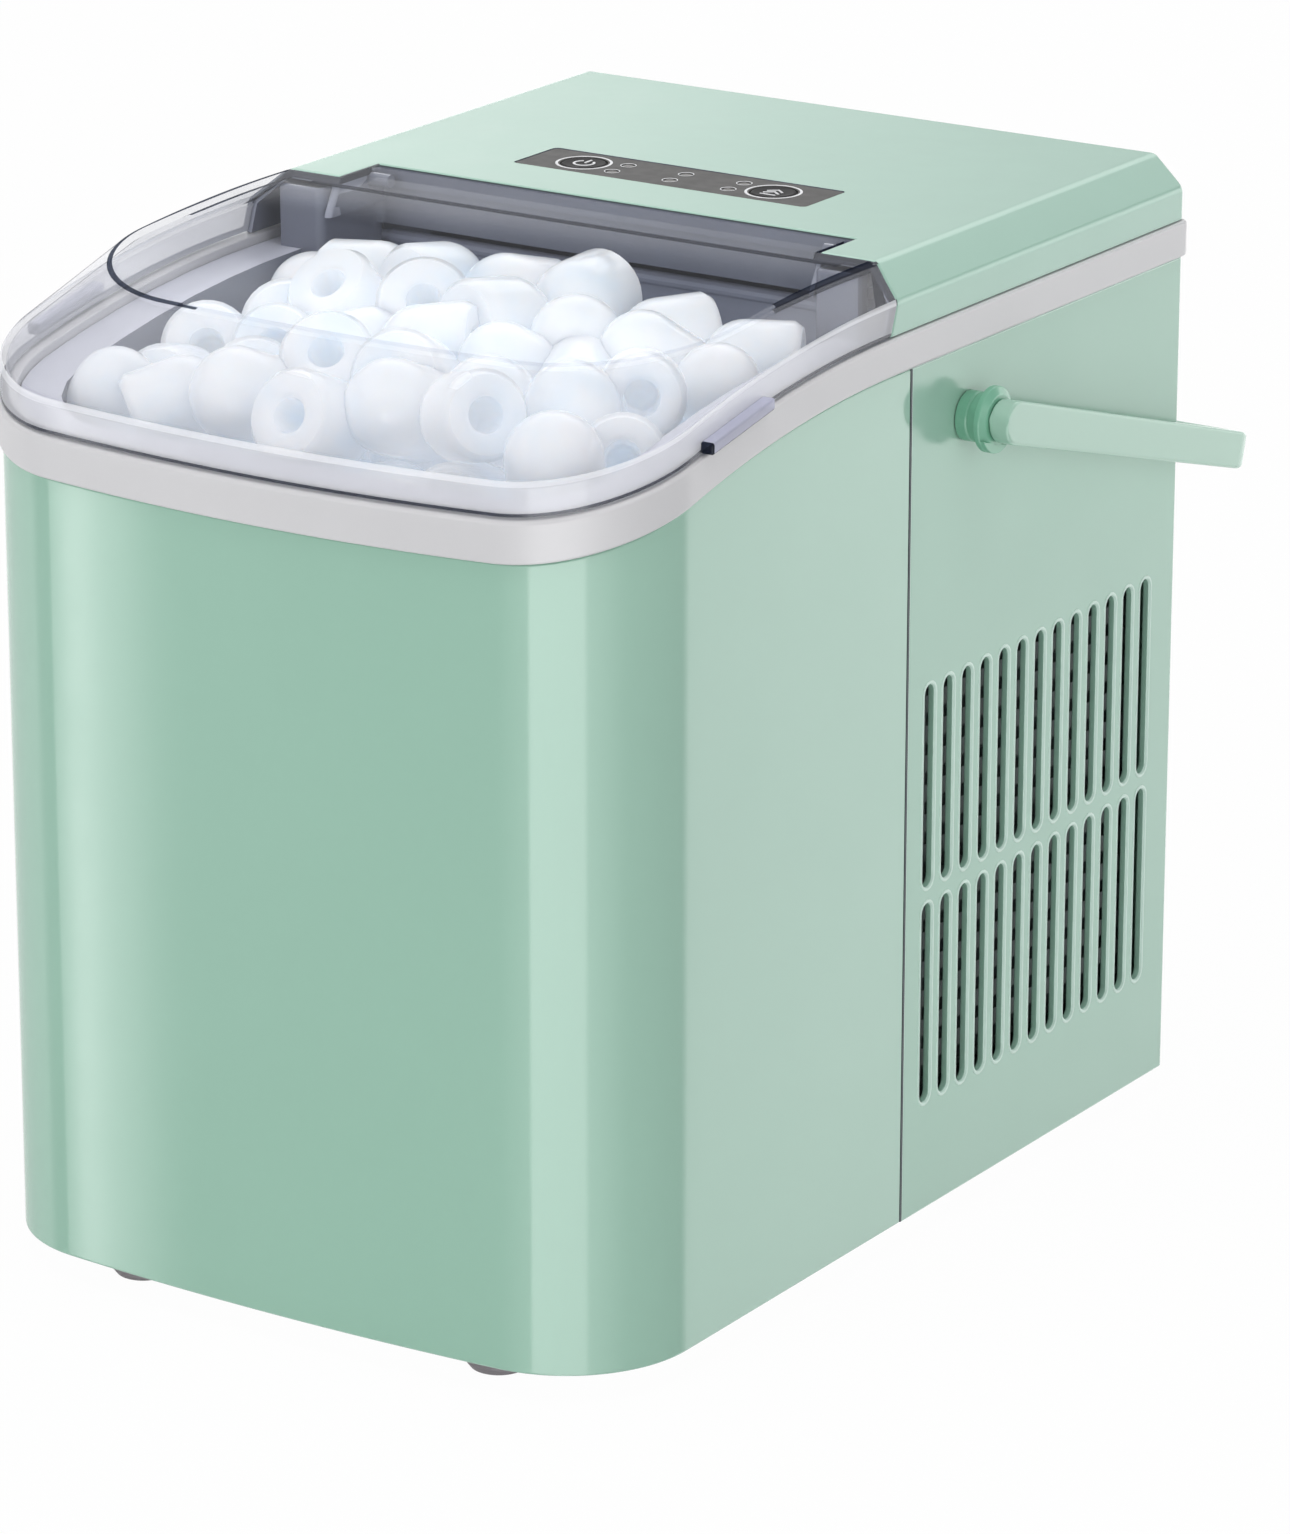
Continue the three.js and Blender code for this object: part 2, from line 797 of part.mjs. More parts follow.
function makeControlPanel() {
  const w = panelWidth / 2;
  const d = panelDepth / 2;
  const outline = roundedPlan(-w, w, panelY - d, panelY + d, panelCorner, panelCorner, 3);
  const holes = mirrorX((side) => circleOutline(side * buttonX, panelY, buttonRadius + fit, 20));
  for (const [x, y] of lampPlaces()) {
    holes.push(circleOutline(x, y, lampRadius + fit, 8));
  }
  return prismZ(outline, panelBottom, panelTop, holes);
}

function makeButton(side) {
  const capBottom = panelTop - buttonCap;
  const tip = capBottom - buttonStemLength;
  const profile = [
    [0, tip], [buttonStemRadius, tip], [buttonStemRadius, capBottom],
    [buttonRadius, capBottom], [buttonRadius, panelTop - 0.3], [buttonRadius - 0.6, panelTop],
    [0, panelTop],
  ];
  return turned(profile, 'z', [side * buttonX, panelY, 0], 20);
}

function makeLightGuide() {
  const top = recessBottom - fit;
  const reach = lampSpread + lampSkew + lampRadius + 1;
  const half = Math.min(reach, buttonX - buttonStemRadius - 1);
  const depth = lampRow + lampRadius + 1;
  const strip = box(-half, half, panelY - depth, panelY + depth, top - lightGuideThickness, top);
  const posts = lampPlaces().map(([x, y]) => rod('z', [x, y, 0], lampRadius, top - 0.5, panelTop, 8));
  return union([strip, ...posts]);
}

function makeControlBoard() {
  const w = panelWidth / 2;
  const d = panelDepth / 2 - 1;
  const plate = box(-w, w, panelY - d, panelY + d, boardTop - boardThickness, boardTop);
  const switchTop = panelTop - buttonCap - buttonStemLength - buttonTravel - fit;
  const switches = mirrorX((side) => (
    box(side * buttonX - 3, side * buttonX + 3, panelY - 3, panelY + 3, boardTop - 0.5,
      Math.max(switchTop, boardTop + 0.5))));
  const chip = box(-9, 9, panelY - 6, panelY + 6, boardTop - boardThickness - 3, boardTop - 1);
  return union([plate, ...switches, chip]);
}

addPiece('top_cover', makeTopCover(), colour.cover, 0.25);
addPiece('control_panel', makeControlPanel(), colour.grey, 0.45);
addPiece('power_button', makeButton(-1), colour.black, 0.3);
addPiece('select_button', makeButton(1), colour.black, 0.3);
addPiece('indicator_light_guide', makeLightGuide(), colour.white, 0.3);
addPiece('control_board', makeControlBoard(), colour.board, 0.5);

// ---------------------------------------------------------------- lid

/** Right side, front and left side of a bowed plan, open at the rear. */
function lidPlan(halfX, front, corner, bow, rear) {
  const bend = bowedFront(halfX, front, corner, bow);
  const steps = 9;
  const side = [];
  for (let i = 0; i < steps; i += 1) {
    side.push(new THREE.Vector2(halfX, rear + ((bend.cornerY - rear) * i) / steps));
  }
  const down = 1.5 * Math.PI;
  const half = [
    ...side,
    ...arc(bend.cornerX, bend.cornerY, corner, 2 * Math.PI, down + bend.half, 7),
    ...arc(0, bend.bowY, bow, down + bend.half, down, 3).slice(1),
  ];
  const mirrored = half.slice(0, -1).reverse().map((p) => new THREE.Vector2(-p.x, p.y));
  return [...half, ...mirrored];
}

/** A closed body through rings of equal length that match point for point. */
function loft(rings) {
  const count = rings[0].length;
  const positions = rings.flat().flatMap((p) => [p.x, p.y, p.z]);
  const index = [];
  const quad = (a, b, c, d) => index.push(a, b, c, a, c, d);
  for (let ring = 0; ring + 1 < rings.length; ring += 1) {
    const low = ring * count;
    const high = low + count;
    for (let i = 0; i < count; i += 1) {
      const next = (i + 1) % count;
      quad(low + i, high + i, high + next, low + next);
    }
  }
  const top = (rings.length - 1) * count;
  const strip = (base, flip) => {
    for (let i = 0; 2 * i + 3 < count; i += 1) {
      const [a, b, c, d] = [i, i + 1, count - 2 - i, count - 1 - i].map((k) => base + k);
      if (flip) quad(a, d, c, b);
      else quad(a, b, c, d);
    }
    if (count % 2 === 1) {
      const mid = (count - 1) / 2;
      const [a, b, c] = [mid - 1, mid, mid + 1].map((k) => base + k);
      if (flip) index.push(a, c, b);
      else index.push(a, b, c);
    }
  };
  strip(0, false);
  strip(top, true);
  const geometry = new THREE.BufferGeometry();
  geometry.setAttribute('position', new THREE.Float32BufferAttribute(positions, 3));
  geometry.setIndex(index);
  return solid(geometry);
}

function lift(plan, heightAt) {
  return plan.map((p) => new THREE.Vector3(p.x, p.y, heightAt(p.y)));
}

/** The lid's body, solid through; inset gives the space inside its walls. */
function lidBody(inset) {
  const rear = notchY + 10;
  const grow = lidProud - inset;
  const low = lidPlan(halfWidth + grow, frontY - grow, frontCornerRadius + grow, frontBowRadius + grow,
    rear);
  const high = lidPlan(halfWidth - lidCreaseInset - inset * 0.5, frontY + lidCreaseSetback + inset * 0.8,
    lidCreaseRadius, frontBowRadius, rear);
  const sink = inset > 0 ? 6 : 0;
  const rimBase = (y) => sweptZ(y, bandTop, bandTopSweep) + lidGap;
  return loft([
    lift(low, (y) => rimBase(y) - sink),
    lift(low, (y) => rimBase(y) + lidRimHeight - inset * 0.4),
    lift(high, (y) => sweptZ(y, height, lidTopSweep) - inset),
  ]);
}

function makeLidTab(side) {
  const rearTabY = tabFrontY + tabLength;
  const frontZ = sweptZ(tabFrontY, bandTop, bandTopSweep) + lidGap;
  const rearZ = sweptZ(rearTabY, bandTop, bandTopSweep) + lidGap;
  const outline = points([
    [tabFrontY, frontZ], [rearTabY, rearZ], [rearTabY, rearZ + tabThickness],
    [tabFrontY, frontZ + tabThickness],
  ]);
  const inner = halfWidth + lidProud - lidWall / 2;
  const outer = halfWidth + lidProud + tabReach;
  return side > 0 ? prismX(outline, inner, outer) : prismX(outline, -outer, -inner);
}

function makeLid() {
  const shell = lidBody(0).subtract(lidBody(lidWall));
  const behindEars = mirrorX((side) => (side > 0
    ? prismX(earOutline(-runningGap), tongueHalf, far)
    : prismX(earOutline(-runningGap), -far, -tongueHalf)));
  const behindNotch = box(-far, far, hingeY, far, 0, far);
  const knuckle = rod('x', [0, hingeY, hingeZ], knuckleRadius, -tongueHalf, tongueHalf, 20);
  const bores = mirrorX((side) => (side > 0
    ? rod('x', [0, hingeY, hingeZ], hingePinRadius + fit, tongueHalf - hingePinReach - fit, far, 16)
    : rod('x', [0, hingeY, hingeZ], hingePinRadius + fit, -far, -tongueHalf + hingePinReach + fit, 16)));
  return union([shell.subtract(union([...behindEars, behindNotch])), knuckle, makeLidTab(1), makeLidTab(-1)])
    .subtract(union(bores));
}

function makeHingePin(side) {
  const inner = tongueHalf - hingePinReach;
  const outer = earInnerX + earWall;
  const [x0, x1] = side > 0 ? [inner, outer] : [-outer, -inner];
  return rod('x', [0, hingeY, hingeZ], hingePinRadius, x0, x1, 16);
}

addPiece('lid', makeLid(), colour.clear, 0.08, 0, { transparent: true, opacity: 0.35 });
addPiece('lid_hinge_pin_left', makeHingePin(-1), colour.steel, 0.3, 0.9);
addPiece('lid_hinge_pin_right', makeHingePin(1), colour.steel, 0.3, 0.9);

// ---------------------------------------------------------------- carry handle

const bossOuter = fit + bossReach;
const flangeOuter = bossOuter + flangeThickness + flangeChamfer;
const handleInner = halfWidth + flangeOuter + fit;
const handleOuter = handleInner + handleBar;

function makeHandlePivot(side) {
  const profile = [
    [0, -pivotStemLength - caseWall], [pivotStemRadius, -pivotStemLength - caseWall], [pivotStemRadius, fit],
    [bossRadius, fit], [bossRadius, bossOuter], [flangeRadius, bossOuter],
    [flangeRadius, bossOuter + flangeThickness], [bossRadius, flangeOuter],
    [pivotShaftRadius, flangeOuter], [pivotShaftRadius, flangeOuter + fit + pivotShaftLength],
    [0, flangeOuter + fit + pivotShaftLength],
  ];
  const geometry = new THREE.LatheGeometry(points(profile), 18);
  geometry.rotateZ(-side * Math.PI / 2);
  geometry.translate(side * halfWidth, pivotY, pivotZ);
  return solid(geometry).add(makePivotLug(side));
}

/** The part of the flange's rim, under the folded arm, that isn't chamfered. */
function makePivotLug(side) {
  const x = [bossOuter + flangeThickness - 0.1, flangeOuter].map((reach) => side * (halfWidth + reach));
  const disc = rod('x', [0, 0, 0], flangeRadius, Math.min(...x), Math.max(...x), 18);
  const low = box(-far, far, -far, far, -far, -lugChord).rotate([-handleFold, 0, 0]);
  return disc.intersect(low).translate([0, pivotY, pivotZ]);
}

function makeHandle() {
  const root = handleRootHeight / 2;
  const tip = handleTipHeight / 2;
  const innerCorner = handleCorner - handleBar;
  const outer = roundedPlan(-handleOuter, handleOuter, -root - 1, handleLength, 0.5, handleCorner, 5);
  const gap = [
    ...arc(handleInner - innerCorner, handleLength - handleBar - innerCorner, innerCorner, 0, Math.PI / 2, 4),
    ...arc(-handleInner + innerCorner, handleLength - handleBar - innerCorner, innerCorner, Math.PI / 2,
      Math.PI, 4),
    ...points([[-handleInner, -far], [handleInner, -far]]),
  ];
  const plan = prismZ(outer, -20, 20).subtract(prismZ(gap, -30, 30));
  const round = 2.5;
  const side = [
    ...arc(0, 0, root, Math.PI / 2, 1.5 * Math.PI, 10),
    ...arc(handleLength - round, -tip + round, round, 1.5 * Math.PI, 2 * Math.PI, 3),
    ...arc(handleLength - round, tip - round, round, 0, Math.PI / 2, 3),
  ];
  const depth = pivotShaftLength + fit;
  const bores = mirrorX((s) => (s > 0
    ? rod('x', [0, 0, 0], pivotShaftRadius + fit, handleInner - 1, handleInner + depth, 16)
    : rod('x', [0, 0, 0], pivotShaftRadius + fit, -handleInner - depth, -handleInner + 1, 16)));
  return plan.intersect(prismX(side, -far, far)).subtract(union(bores));
}

addPiece('handle_pivot_left', makeHandlePivot(-1), colour.mint, 0.3);
addPiece('handle_pivot_right', makeHandlePivot(1), colour.mint, 0.3);
const handle = addPiece('carry_handle', makeHandle(), colour.mint, 0.25);
handle.position.set(0, pivotY, pivotZ);
handle.rotation.x = THREE.MathUtils.degToRad(-handleFold);

// ---------------------------------------------------------------- liner, foam, basket

function binPlan(grow) {
  return roundedPlan(-binHalfWidth - grow, binHalfWidth + grow, binFrontY - grow, binRearY + grow,
    binCornerRadius + grow, 2 + grow);
}

function makeLiner() {
  const bin = prismZ(binPlan(linerWall), binFloorZ - linerWall, far);
  const chamber = box(-linerHalfWidth, linerHalfWidth, binRearY - linerWall, chamberRearY + linerWall,
    chamberFloorZ - linerWall, far);
  const flangePlan = prismZ(casePlan(-bandInset - fit), 0, far);
  const flangeZone = box(-far, far, -far, chamberRearY + linerWall + flangeRear, 0, far);
  const flange = flangePlan.intersect(flangeZone)
    .intersect(between(sweptEdge(flangeBottom, bandTopSweep), sweptEdge(flangeTop, bandTopSweep)));
  const body = union([bin, chamber]).intersect(below(sweptEdge(flangeTop, bandTopSweep)));
  const binSpace = prismZ(binPlan(0), binFloorZ, far);
  const chamberSpace = box(-binHalfWidth, binHalfWidth, binRearY - 2 * linerWall, chamberRearY,
    chamberFloorZ, far);
  const railTop = basketFloorZ - fit;
  const rails = mirrorX((side) => boxOnSide(side, binHalfWidth - railWidth, binHalfWidth + 1,
    binFrontY + binCornerRadius, binRearY - basketRearGap, railTop - railThickness, railTop));
  const ribTop = evaporatorZ - fit;
  const ribs = mirrorX((side) => boxOnSide(side, binHalfWidth - evaporatorRib, binHalfWidth + 1,
    evaporatorArmY - evaporatorArmWidth / 2 - 2, evaporatorArmY + evaporatorArmWidth / 2 + 2,
    ribTop - railThickness, ribTop));
  const tubeHole = rod('z', [pumpX, chamberRearY - waterTubeInset, 0], waterTubeRadius + fit,
    chamberFloorZ - linerWall - 1, chamberFloorZ + 1, 12);
  const rearWall = [binRearY - 1, binRearY + linerWall + 1];
  const drainHole = rod('y', [drainX, 0, drainZ], drainBore, ...rearWall, 12);
  const pumpHole = rod('y', [pumpX, 0, pumpZ], pumpOutletRadius + fit, ...rearWall, 12);
  return union([body, flange]).subtract(union([binSpace, chamberSpace]))
    .add(union([...rails, ...ribs]))
    .subtract(union([tubeHole, drainHole, pumpHole]));
}

function makeFoam() {
  const block = prismZ(casePlan(-caseWall - fit), baseTop + fit, far)
    .intersect(box(-far, far, -far, binRearY + linerWall, 0, far))
    .intersect(below(sweptEdge(bandBottom - fit, bandBottomSweep)));
  const hole = prismZ(binPlan(linerWall + fit), binFloorZ - linerWall - fit, far);
  const rearCut = box(-far, far, binRearY - linerWall - fit, far, chamberFloorZ - linerWall - fit, far);
  const flangeCut = prismZ(casePlan(-bandInset + fit), 0, far);
  const pegs = union([feet.foot_front_left, feet.foot_front_right].map(([x, y]) => (
    rod('z', [x, y, 0], footPegRadius + fit, 0, caseBottom + footPegLength + fit, 12))));
  const openRear = box(-binHalfWidth + 4, binHalfWidth - 4, 0, far, 0, far);
  return block.subtract(hole).subtract(rearCut).subtract(openRear).subtract(pegs)
    .subtract(flangeCut.intersect(box(-far, far, -far, far, bandTop - 1, far)));
}

const basketHalf = binHalfWidth - basketGap;
const basketFront = binFrontY + basketGap;
const basketRear = binRearY - basketRearGap;

function makeBasket() {
  const outer = roundedPlan(-basketHalf, basketHalf, basketFront, basketRear, basketCorner, 4);
  const t = basketWall;
  const inner = roundedPlan(-basketHalf + t, basketHalf - t, basketFront + t, basketRear - t,
    basketCorner - t, 4 - t);
  const holes = [];
  const pitchX = 2 * (basketHalf - basketHoleMargin) / (basketHoleColumns - 1);
  const pitchY = (basketRear - basketFront - 2 * basketHoleMargin) / (basketHoleRows - 1);
  for (let i = 0; i < basketHoleColumns; i += 1) {
    for (let j = 0; j < basketHoleRows; j += 1) {
      const x = -basketHalf + basketHoleMargin + i * pitchX;
      const y = basketFront + basketHoleMargin + j * pitchY;
      holes.push(slotOutline(x, y - basketHoleLength / 2, y + basketHoleLength / 2, basketHoleWidth, 2));
    }
  }
  const wall = prismZ(outer, basketFloorZ + t / 2, basketTop, [inner]);
  const rimOuter = roundedPlan(-basketHalf - t, basketHalf + t, basketFront - t, basketRear + t,
    basketCorner + t, 4 + t);
  const rim = prismZ(rimOuter, basketTop - t, basketTop, [inner]);
  return union([prismZ(outer, basketFloorZ, basketFloorZ + t, holes), wall, rim]);
}

addPiece('inner_liner', makeLiner(), colour.dark, 0.4);
addPiece('insulation_foam', makeFoam(), colour.foam, 0.9);
addPiece('ice_basket', makeBasket(), colour.white, 0.35);

// ---------------------------------------------------------------- hood and splash flap

const hoodX = earInnerX + earWall + fit;
const hoodTop = height - coverSkin - runningGap;
const hoodEarY = earBottomY + hoodEarSetback;
const hoodEdgeZ = bandTop + hoodEdgeLift;

function makeHood() {
  const t = hoodWall;
  const reach = hoodX + hoodEarReach;
  const front = box(-hoodX - t, hoodX + t, hoodY, hoodY + t, hoodEdgeZ, hoodTop);
  const ears = mirrorX((side) => union([
    boxOnSide(side, hoodX, reach, hoodEarY, hoodEarY + t, flangeTop + fit, hoodTop),
    boxOnSide(side, hoodX, hoodX + t, hoodEarY, flapY + flapBracket, flangeTop + fit, hoodTop),
    boxOnSide(side, hoodX, reach, hoodEarY, hoodEarY + hoodEarDepth, hoodTop - t, hoodTop),
    boxOnSide(side, hoodX, hoodX + t, hoodY, flapY + flapBracket, flapPinZ - flapBracket, hoodTop),
  ]));
  const pins = rod('x', [0, hingeY, hingeZ], hingePinRadius + runningGap, -far, far, 12);
  const flapPins = rod('x', [0, flapY, flapPinZ], flapPinRadius + fit, -far, far, 12);
  return union([front, ...ears]).subtract(pins).subtract(flapPins);
}

function makeFlap() {
  const half = hoodX - flapSideGap;
  const y = flapY - flapThickness / 2;
  const plate = box(-half, half, y, y + flapThickness, flapPinZ - flapDrop, flapPinZ);
  const roll = rod('x', [0, flapY, flapPinZ], flapPinRadius + 0.6, -half, half, 12);
  const pin = rod('x', [0, flapY, flapPinZ], flapPinRadius, -hoodX - hoodWall, hoodX + hoodWall, 12);
  return union([plate, roll, pin]);
}

addPiece('inner_hood', makeHood(), colour.dark, 0.3);
addPiece('splash_flap', makeFlap(), colour.dark, 0.25);

// ---------------------------------------------------------------- ice-making group

function fingerPlaces() {
  const places = [];
  const reach = trayHalfLength - trayWall - fingerTrayGap - fingerRadius;
  const full = Math.floor((2 * reach) / fingerPitch) + 1;
  for (const [row, count] of [[-1, full], [1, full - 1]]) {
    for (let i = 0; i < count; i += 1) {
      places.push([(i - (count - 1) / 2) * fingerPitch, evaporatorY + (row * fingerRowGap) / 2]);
    }
  }
  return places;
}

function makeEvaporator() {
  const d = evaporatorDepth / 2;
  const plate = box(-evaporatorHalf, evaporatorHalf, evaporatorY - d, evaporatorY + d, evaporatorZ,
    evaporatorTop);
  const arm = evaporatorArmWidth / 2;
  const arms = box(-binHalfWidth + fit, binHalfWidth - fit, evaporatorArmY - arm, evaporatorArmY + arm,
    evaporatorZ, evaporatorZ + 3);
  const tip = evaporatorZ - fingerLength;
  const r = fingerRadius;
  const fingers = fingerPlaces().map(([x, y]) => turned([
    [0, tip], [r * 0.7, tip + r * 0.3], [r, tip + r], [r, evaporatorZ + 1], [0, evaporatorZ + 1],
  ], 'z', [x, y, 0], 8));
  return union([plate, arms, ...fingers]);
}

const trayPivotY = trayRearY - trayPivotInset;
const trayPivotZ = trayBottomZ + trayHeight - trayPivotInset;

function makeTray() {
  const t = trayWall;
  const top = trayBottomZ + trayHeight;
  const outer = box(-trayHalfLength, trayHalfLength, trayFrontY, trayRearY, trayBottomZ, top);
  const inner = box(-trayHalfLength + t, trayHalfLength - t, trayFrontY + t, trayRearY - t,
    trayBottomZ + t, far);
  const pins = mirrorX((side) => {
    const from = trayHalfLength - t / 2;
    const to = trayHalfLength + trayPivotLength;
    const [x0, x1] = side > 0 ? [from, to] : [-to, -from];
    return rod('x', [0, trayPivotY, trayPivotZ], trayPivotRadius, x0, x1, 16);
  });
  return union([outer.subtract(inner), ...pins]);
}

function makeTrayMotor() {
  const outer = binHalfWidth - fit;
  const inner = trayHalfLength + runningGap;
  const can = rod('x', [0, trayPivotY, trayPivotZ], motorRadius, inner + motorBossLength, outer, 24);
  const boss = rod('x', [0, trayPivotY, trayPivotZ], motorBossRadius, inner, inner + motorBossLength + 1, 16);
  const bore = rod('x', [0, trayPivotY, trayPivotZ], trayPivotRadius + fit, 0,
    trayHalfLength + trayPivotLength + fit, 16);
  return union([can, boss]).subtract(bore);
}

function makeTrayBearing() {
  const outer = binHalfWidth - fit;
  const inner = trayHalfLength + runningGap;
  const half = bearingDepth / 2;
  const block = box(-outer, -inner, trayPivotY - half, trayPivotY + half, trayPivotZ - half,
    trayPivotZ + half);
  const bore = rod('x', [0, trayPivotY, trayPivotZ], trayPivotRadius + fit,
    -trayHalfLength - trayPivotLength - fit, 0, 16);
  return block.subtract(bore);
}

function makeSensor(side) {
  const outer = binHalfWidth - fit;
  const half = sensorWidth / 2;
  const low = basketTop + sensorLift;
  return boxOnSide(side, outer - sensorReach, outer, sensorY - half, sensorY + half, low,
    low + sensorHeight);
}

addPiece('evaporator', makeEvaporator(), colour.steel, 0.3, 0.9);
addPiece('water_tray', makeTray(), colour.white, 0.4);
addPiece('tray_motor', makeTrayMotor(), colour.steel, 0.4, 0.7);
addPiece('tray_bearing', makeTrayBearing(), colour.white, 0.5);
addPiece('ice_sensor_left', makeSensor(-1), colour.black, 0.3);
addPiece('ice_sensor_right', makeSensor(1), colour.black, 0.3);

// ---------------------------------------------------------------- water circuit

function makePump() {
  const front = linerRear + fit;
  const can = rod('y', [pumpX, 0, pumpZ], pumpRadius, front, front + pumpLength, 24);
  const inlet = rod('y', [pumpX, 0, pumpZ], pumpOutletRadius, binRearY, front + 1, 16);
  const outlet = rod('z', [pumpX, front + pumpLength / 2, 0], pumpOutletRadius, pumpZ,
    pumpZ + pumpRadius + pumpOutletHeight, 16);
  const foot = box(pumpX - pumpRadius * 0.7, pumpX + pumpRadius * 0.7, front, front + pumpLength,
    baseTop + fit, pumpZ);
  return union([can, inlet, outlet, foot]);
}

function makeWaterTube() {
  const y = linerRear + fit + pumpLength / 2;
  const start = pumpZ + pumpRadius + pumpOutletHeight + fit;
  const under = chamberUnderside - 22;
  const rear = chamberRearY - waterTubeInset;
  const spout = evaporatorZ - waterTubeDrop;
  return tube([
    [pumpX, y, start], [pumpX, y, start + 20], [pumpX, y, under - 14],
    [pumpX, y + 12, under], [pumpX, rear - 10, under],
    [pumpX, rear, under + 10], [pumpX, rear, under + 18],
    [pumpX, rear, spout - 12],
    [pumpX, rear - 5, spout - 2], [pumpX, trayRearY + 3, spout],
  ], waterTubeRadius, 30, 6);
}

const drainOutlet = rearY + 1.2;

function makeDrainTube() {
  const from = linerRear + fit;
  const outer = rod('y', [drainX, 0, drainZ], drainTubeRadius, from, drainOutlet, 16);
  const bore = rod('y', [drainX, 0, drainZ], drainBore, from - 1, drainOutlet + 1, 12);
  return outer.subtract(bore);
}

function makeDrainPlug() {
  const seat = drainOutlet + fit;
  const stem = drainBore - fit;
  return turned([
    [0, seat - drainPlugStem], [stem, seat - drainPlugStem], [stem, seat], [drainPlugRadius, seat],
    [drainPlugRadius, seat + drainPlugThickness - 1], [drainPlugRadius - 1, seat + drainPlugThickness],
    [0, seat + drainPlugThickness],
  ], 'y', [drainX, 0, drainZ], 16);
}

addPiece('water_pump', makePump(), colour.black, 0.5);
addPiece('water_tube', makeWaterTube(), colour.white, 0.4);
addPiece('drain_tube', makeDrainTube(), colour.white, 0.4);
addPiece('drain_plug', makeDrainPlug(), colour.rubber, 0.8);

// ---------------------------------------------------------------- compressor

const grommetTop = baseTop + fit + grommetHeight;
const plateBottom = grommetTop + fit;
const compressorTop = chamberUnderside - compressorTopSpace;
const portTop = compressorTop + portHeight - 4;

function portPlace(angle) {
  const a = THREE.MathUtils.degToRad(angle);
  return [compressorX + portCircle * Math.cos(a), compressorY + portCircle * Math.sin(a)];
}

function makeCompressor() {
  const r = compressorRadius;
  const dome = compressorDome;
  const low = plateBottom;
  const profile = [[0, low + 0.5]];
  for (let i = 1; i <= 3; i += 1) {
    const a = (i / 3) * (Math.PI / 2);
    profile.push([r * Math.sin(a), low + 0.5 + dome * 0.6 * (1 - Math.cos(a))]);
  }
  for (let i = 0; i <= 3; i += 1) {
    const a = (i / 3) * (Math.PI / 2);
    profile.push([i === 3 ? 0 : r * Math.cos(a), compressorTop - dome + dome * Math.sin(a)]);
  }
  const pot = turned(profile, 'z', [compressorX, compressorY, 0], 18);
  const holes = studs.map(([x, y]) => circleOutline(x, y, studRadius + fit, 10));
  const plate = prismZ(circleOutline(compressorX, compressorY, mountPlateRadius, 18), low,
    low + mountPlateThickness, holes);
  const ports = [dischargePortAngle, suctionPortAngle].map((angle) => (
    rod('z', [...portPlace(angle), 0], portRadius, compressorTop - dome, portTop, 12)));
  const stack = studs.map(([x, y]) => rod('z', [x, y, 0], studRadius + fit, low - 1, portTop, 10));
  return union([pot, plate, ...ports]).subtract(union(stack));
}

function makeGrommet([x, y]) {
  const low = baseTop + fit;
  const r = grommetRadius;
  return turned([
    [grommetBore, low], [r, low], [r - 2, low + grommetHeight / 2], [r, grommetTop],
    [grommetBore, grommetTop], [grommetBore, low],
  ], 'z', [x, y, 0], 10);
}

addPiece('compressor', makeCompressor(), colour.black, 0.35, 0.3);
studs.forEach((place, i) => {
  addPiece(`compressor_grommet_${i + 1}`, makeGrommet(place), colour.rubber, 0.85);
});

// ---------------------------------------------------------------- condenser and fan

const condenserOuter = halfWidth - caseWall - condenserGap;
const condenserInner = condenserOuter - condenserThickness;
const condenserFront = condenserY - condenserDepth / 2;
const condenserRear = condenserY + condenserDepth / 2;
const condenserX = (condenserInner + condenserOuter) / 2;

function makeCondenser() {
  const core = box(condenserInner, condenserOuter, condenserFront, condenserRear, condenserBottomZ,
    condenserTop);
  const pitch = condenserHeight / condenserFins;
  const slots = [];
  for (let i = 0; i < condenserFins; i += 1) {
    const z = condenserBottomZ + (i + 0.5) * pitch - finSlot / 2;
    slots.push(box(condenserOuter - finSlotDepth, condenserOuter + 1, condenserFront + 3,
      condenserRear - 3, z, z + finSlot));
  }
  const plates = [condenserFront - condenserPlate, condenserRear].map((y) => (
    box(condenserInner, condenserOuter, y - 0.2, y + condenserPlate, baseTop + fit, condenserTop + 4)));
  return union([core.subtract(union(slots)), ...plates]);
}

const fanOuter = condenserInner - fit;
const fanInner = fanOuter - fanThickness;
const fanZ = (condenserBottomZ + condenserTop) / 2;
const fanDuctRadius = fanSize / 2 - fanFrameWall;
const fanBladeRadius = fanDuctRadius - fanTipGap;

function makeFanFrame() {
  const half = fanSize / 2;
  const outline = points([
    [condenserY - half, fanZ - half], [condenserY + half, fanZ - half],
    [condenserY + half, fanZ + half], [condenserY - half, fanZ + half],
  ]);
  const ring = prismX(outline, fanInner, fanOuter, [circleOutline(condenserY, fanZ, fanDuctRadius, 20)]);
  const hub = rod('x', [0, condenserY, fanZ], fanHubRadius, fanInner, fanInner + fanMotorThickness, 20);
  const s = fanStrut / 2;
  const reach = fanDuctRadius + 2;
  const struts = union([
    box(fanInner, fanInner + 3, condenserY - reach, condenserY + reach, fanZ - s, fanZ + s),
    box(fanInner, fanInner + 3, condenserY - s, condenserY + s, fanZ - reach, fanZ + reach),
  ]);
  const shaft = rod('x', [0, condenserY, fanZ], fanShaftRadius, fanInner + 1, fanOuter - 7, 10);
  return union([ring, hub, struts, shaft]);
}

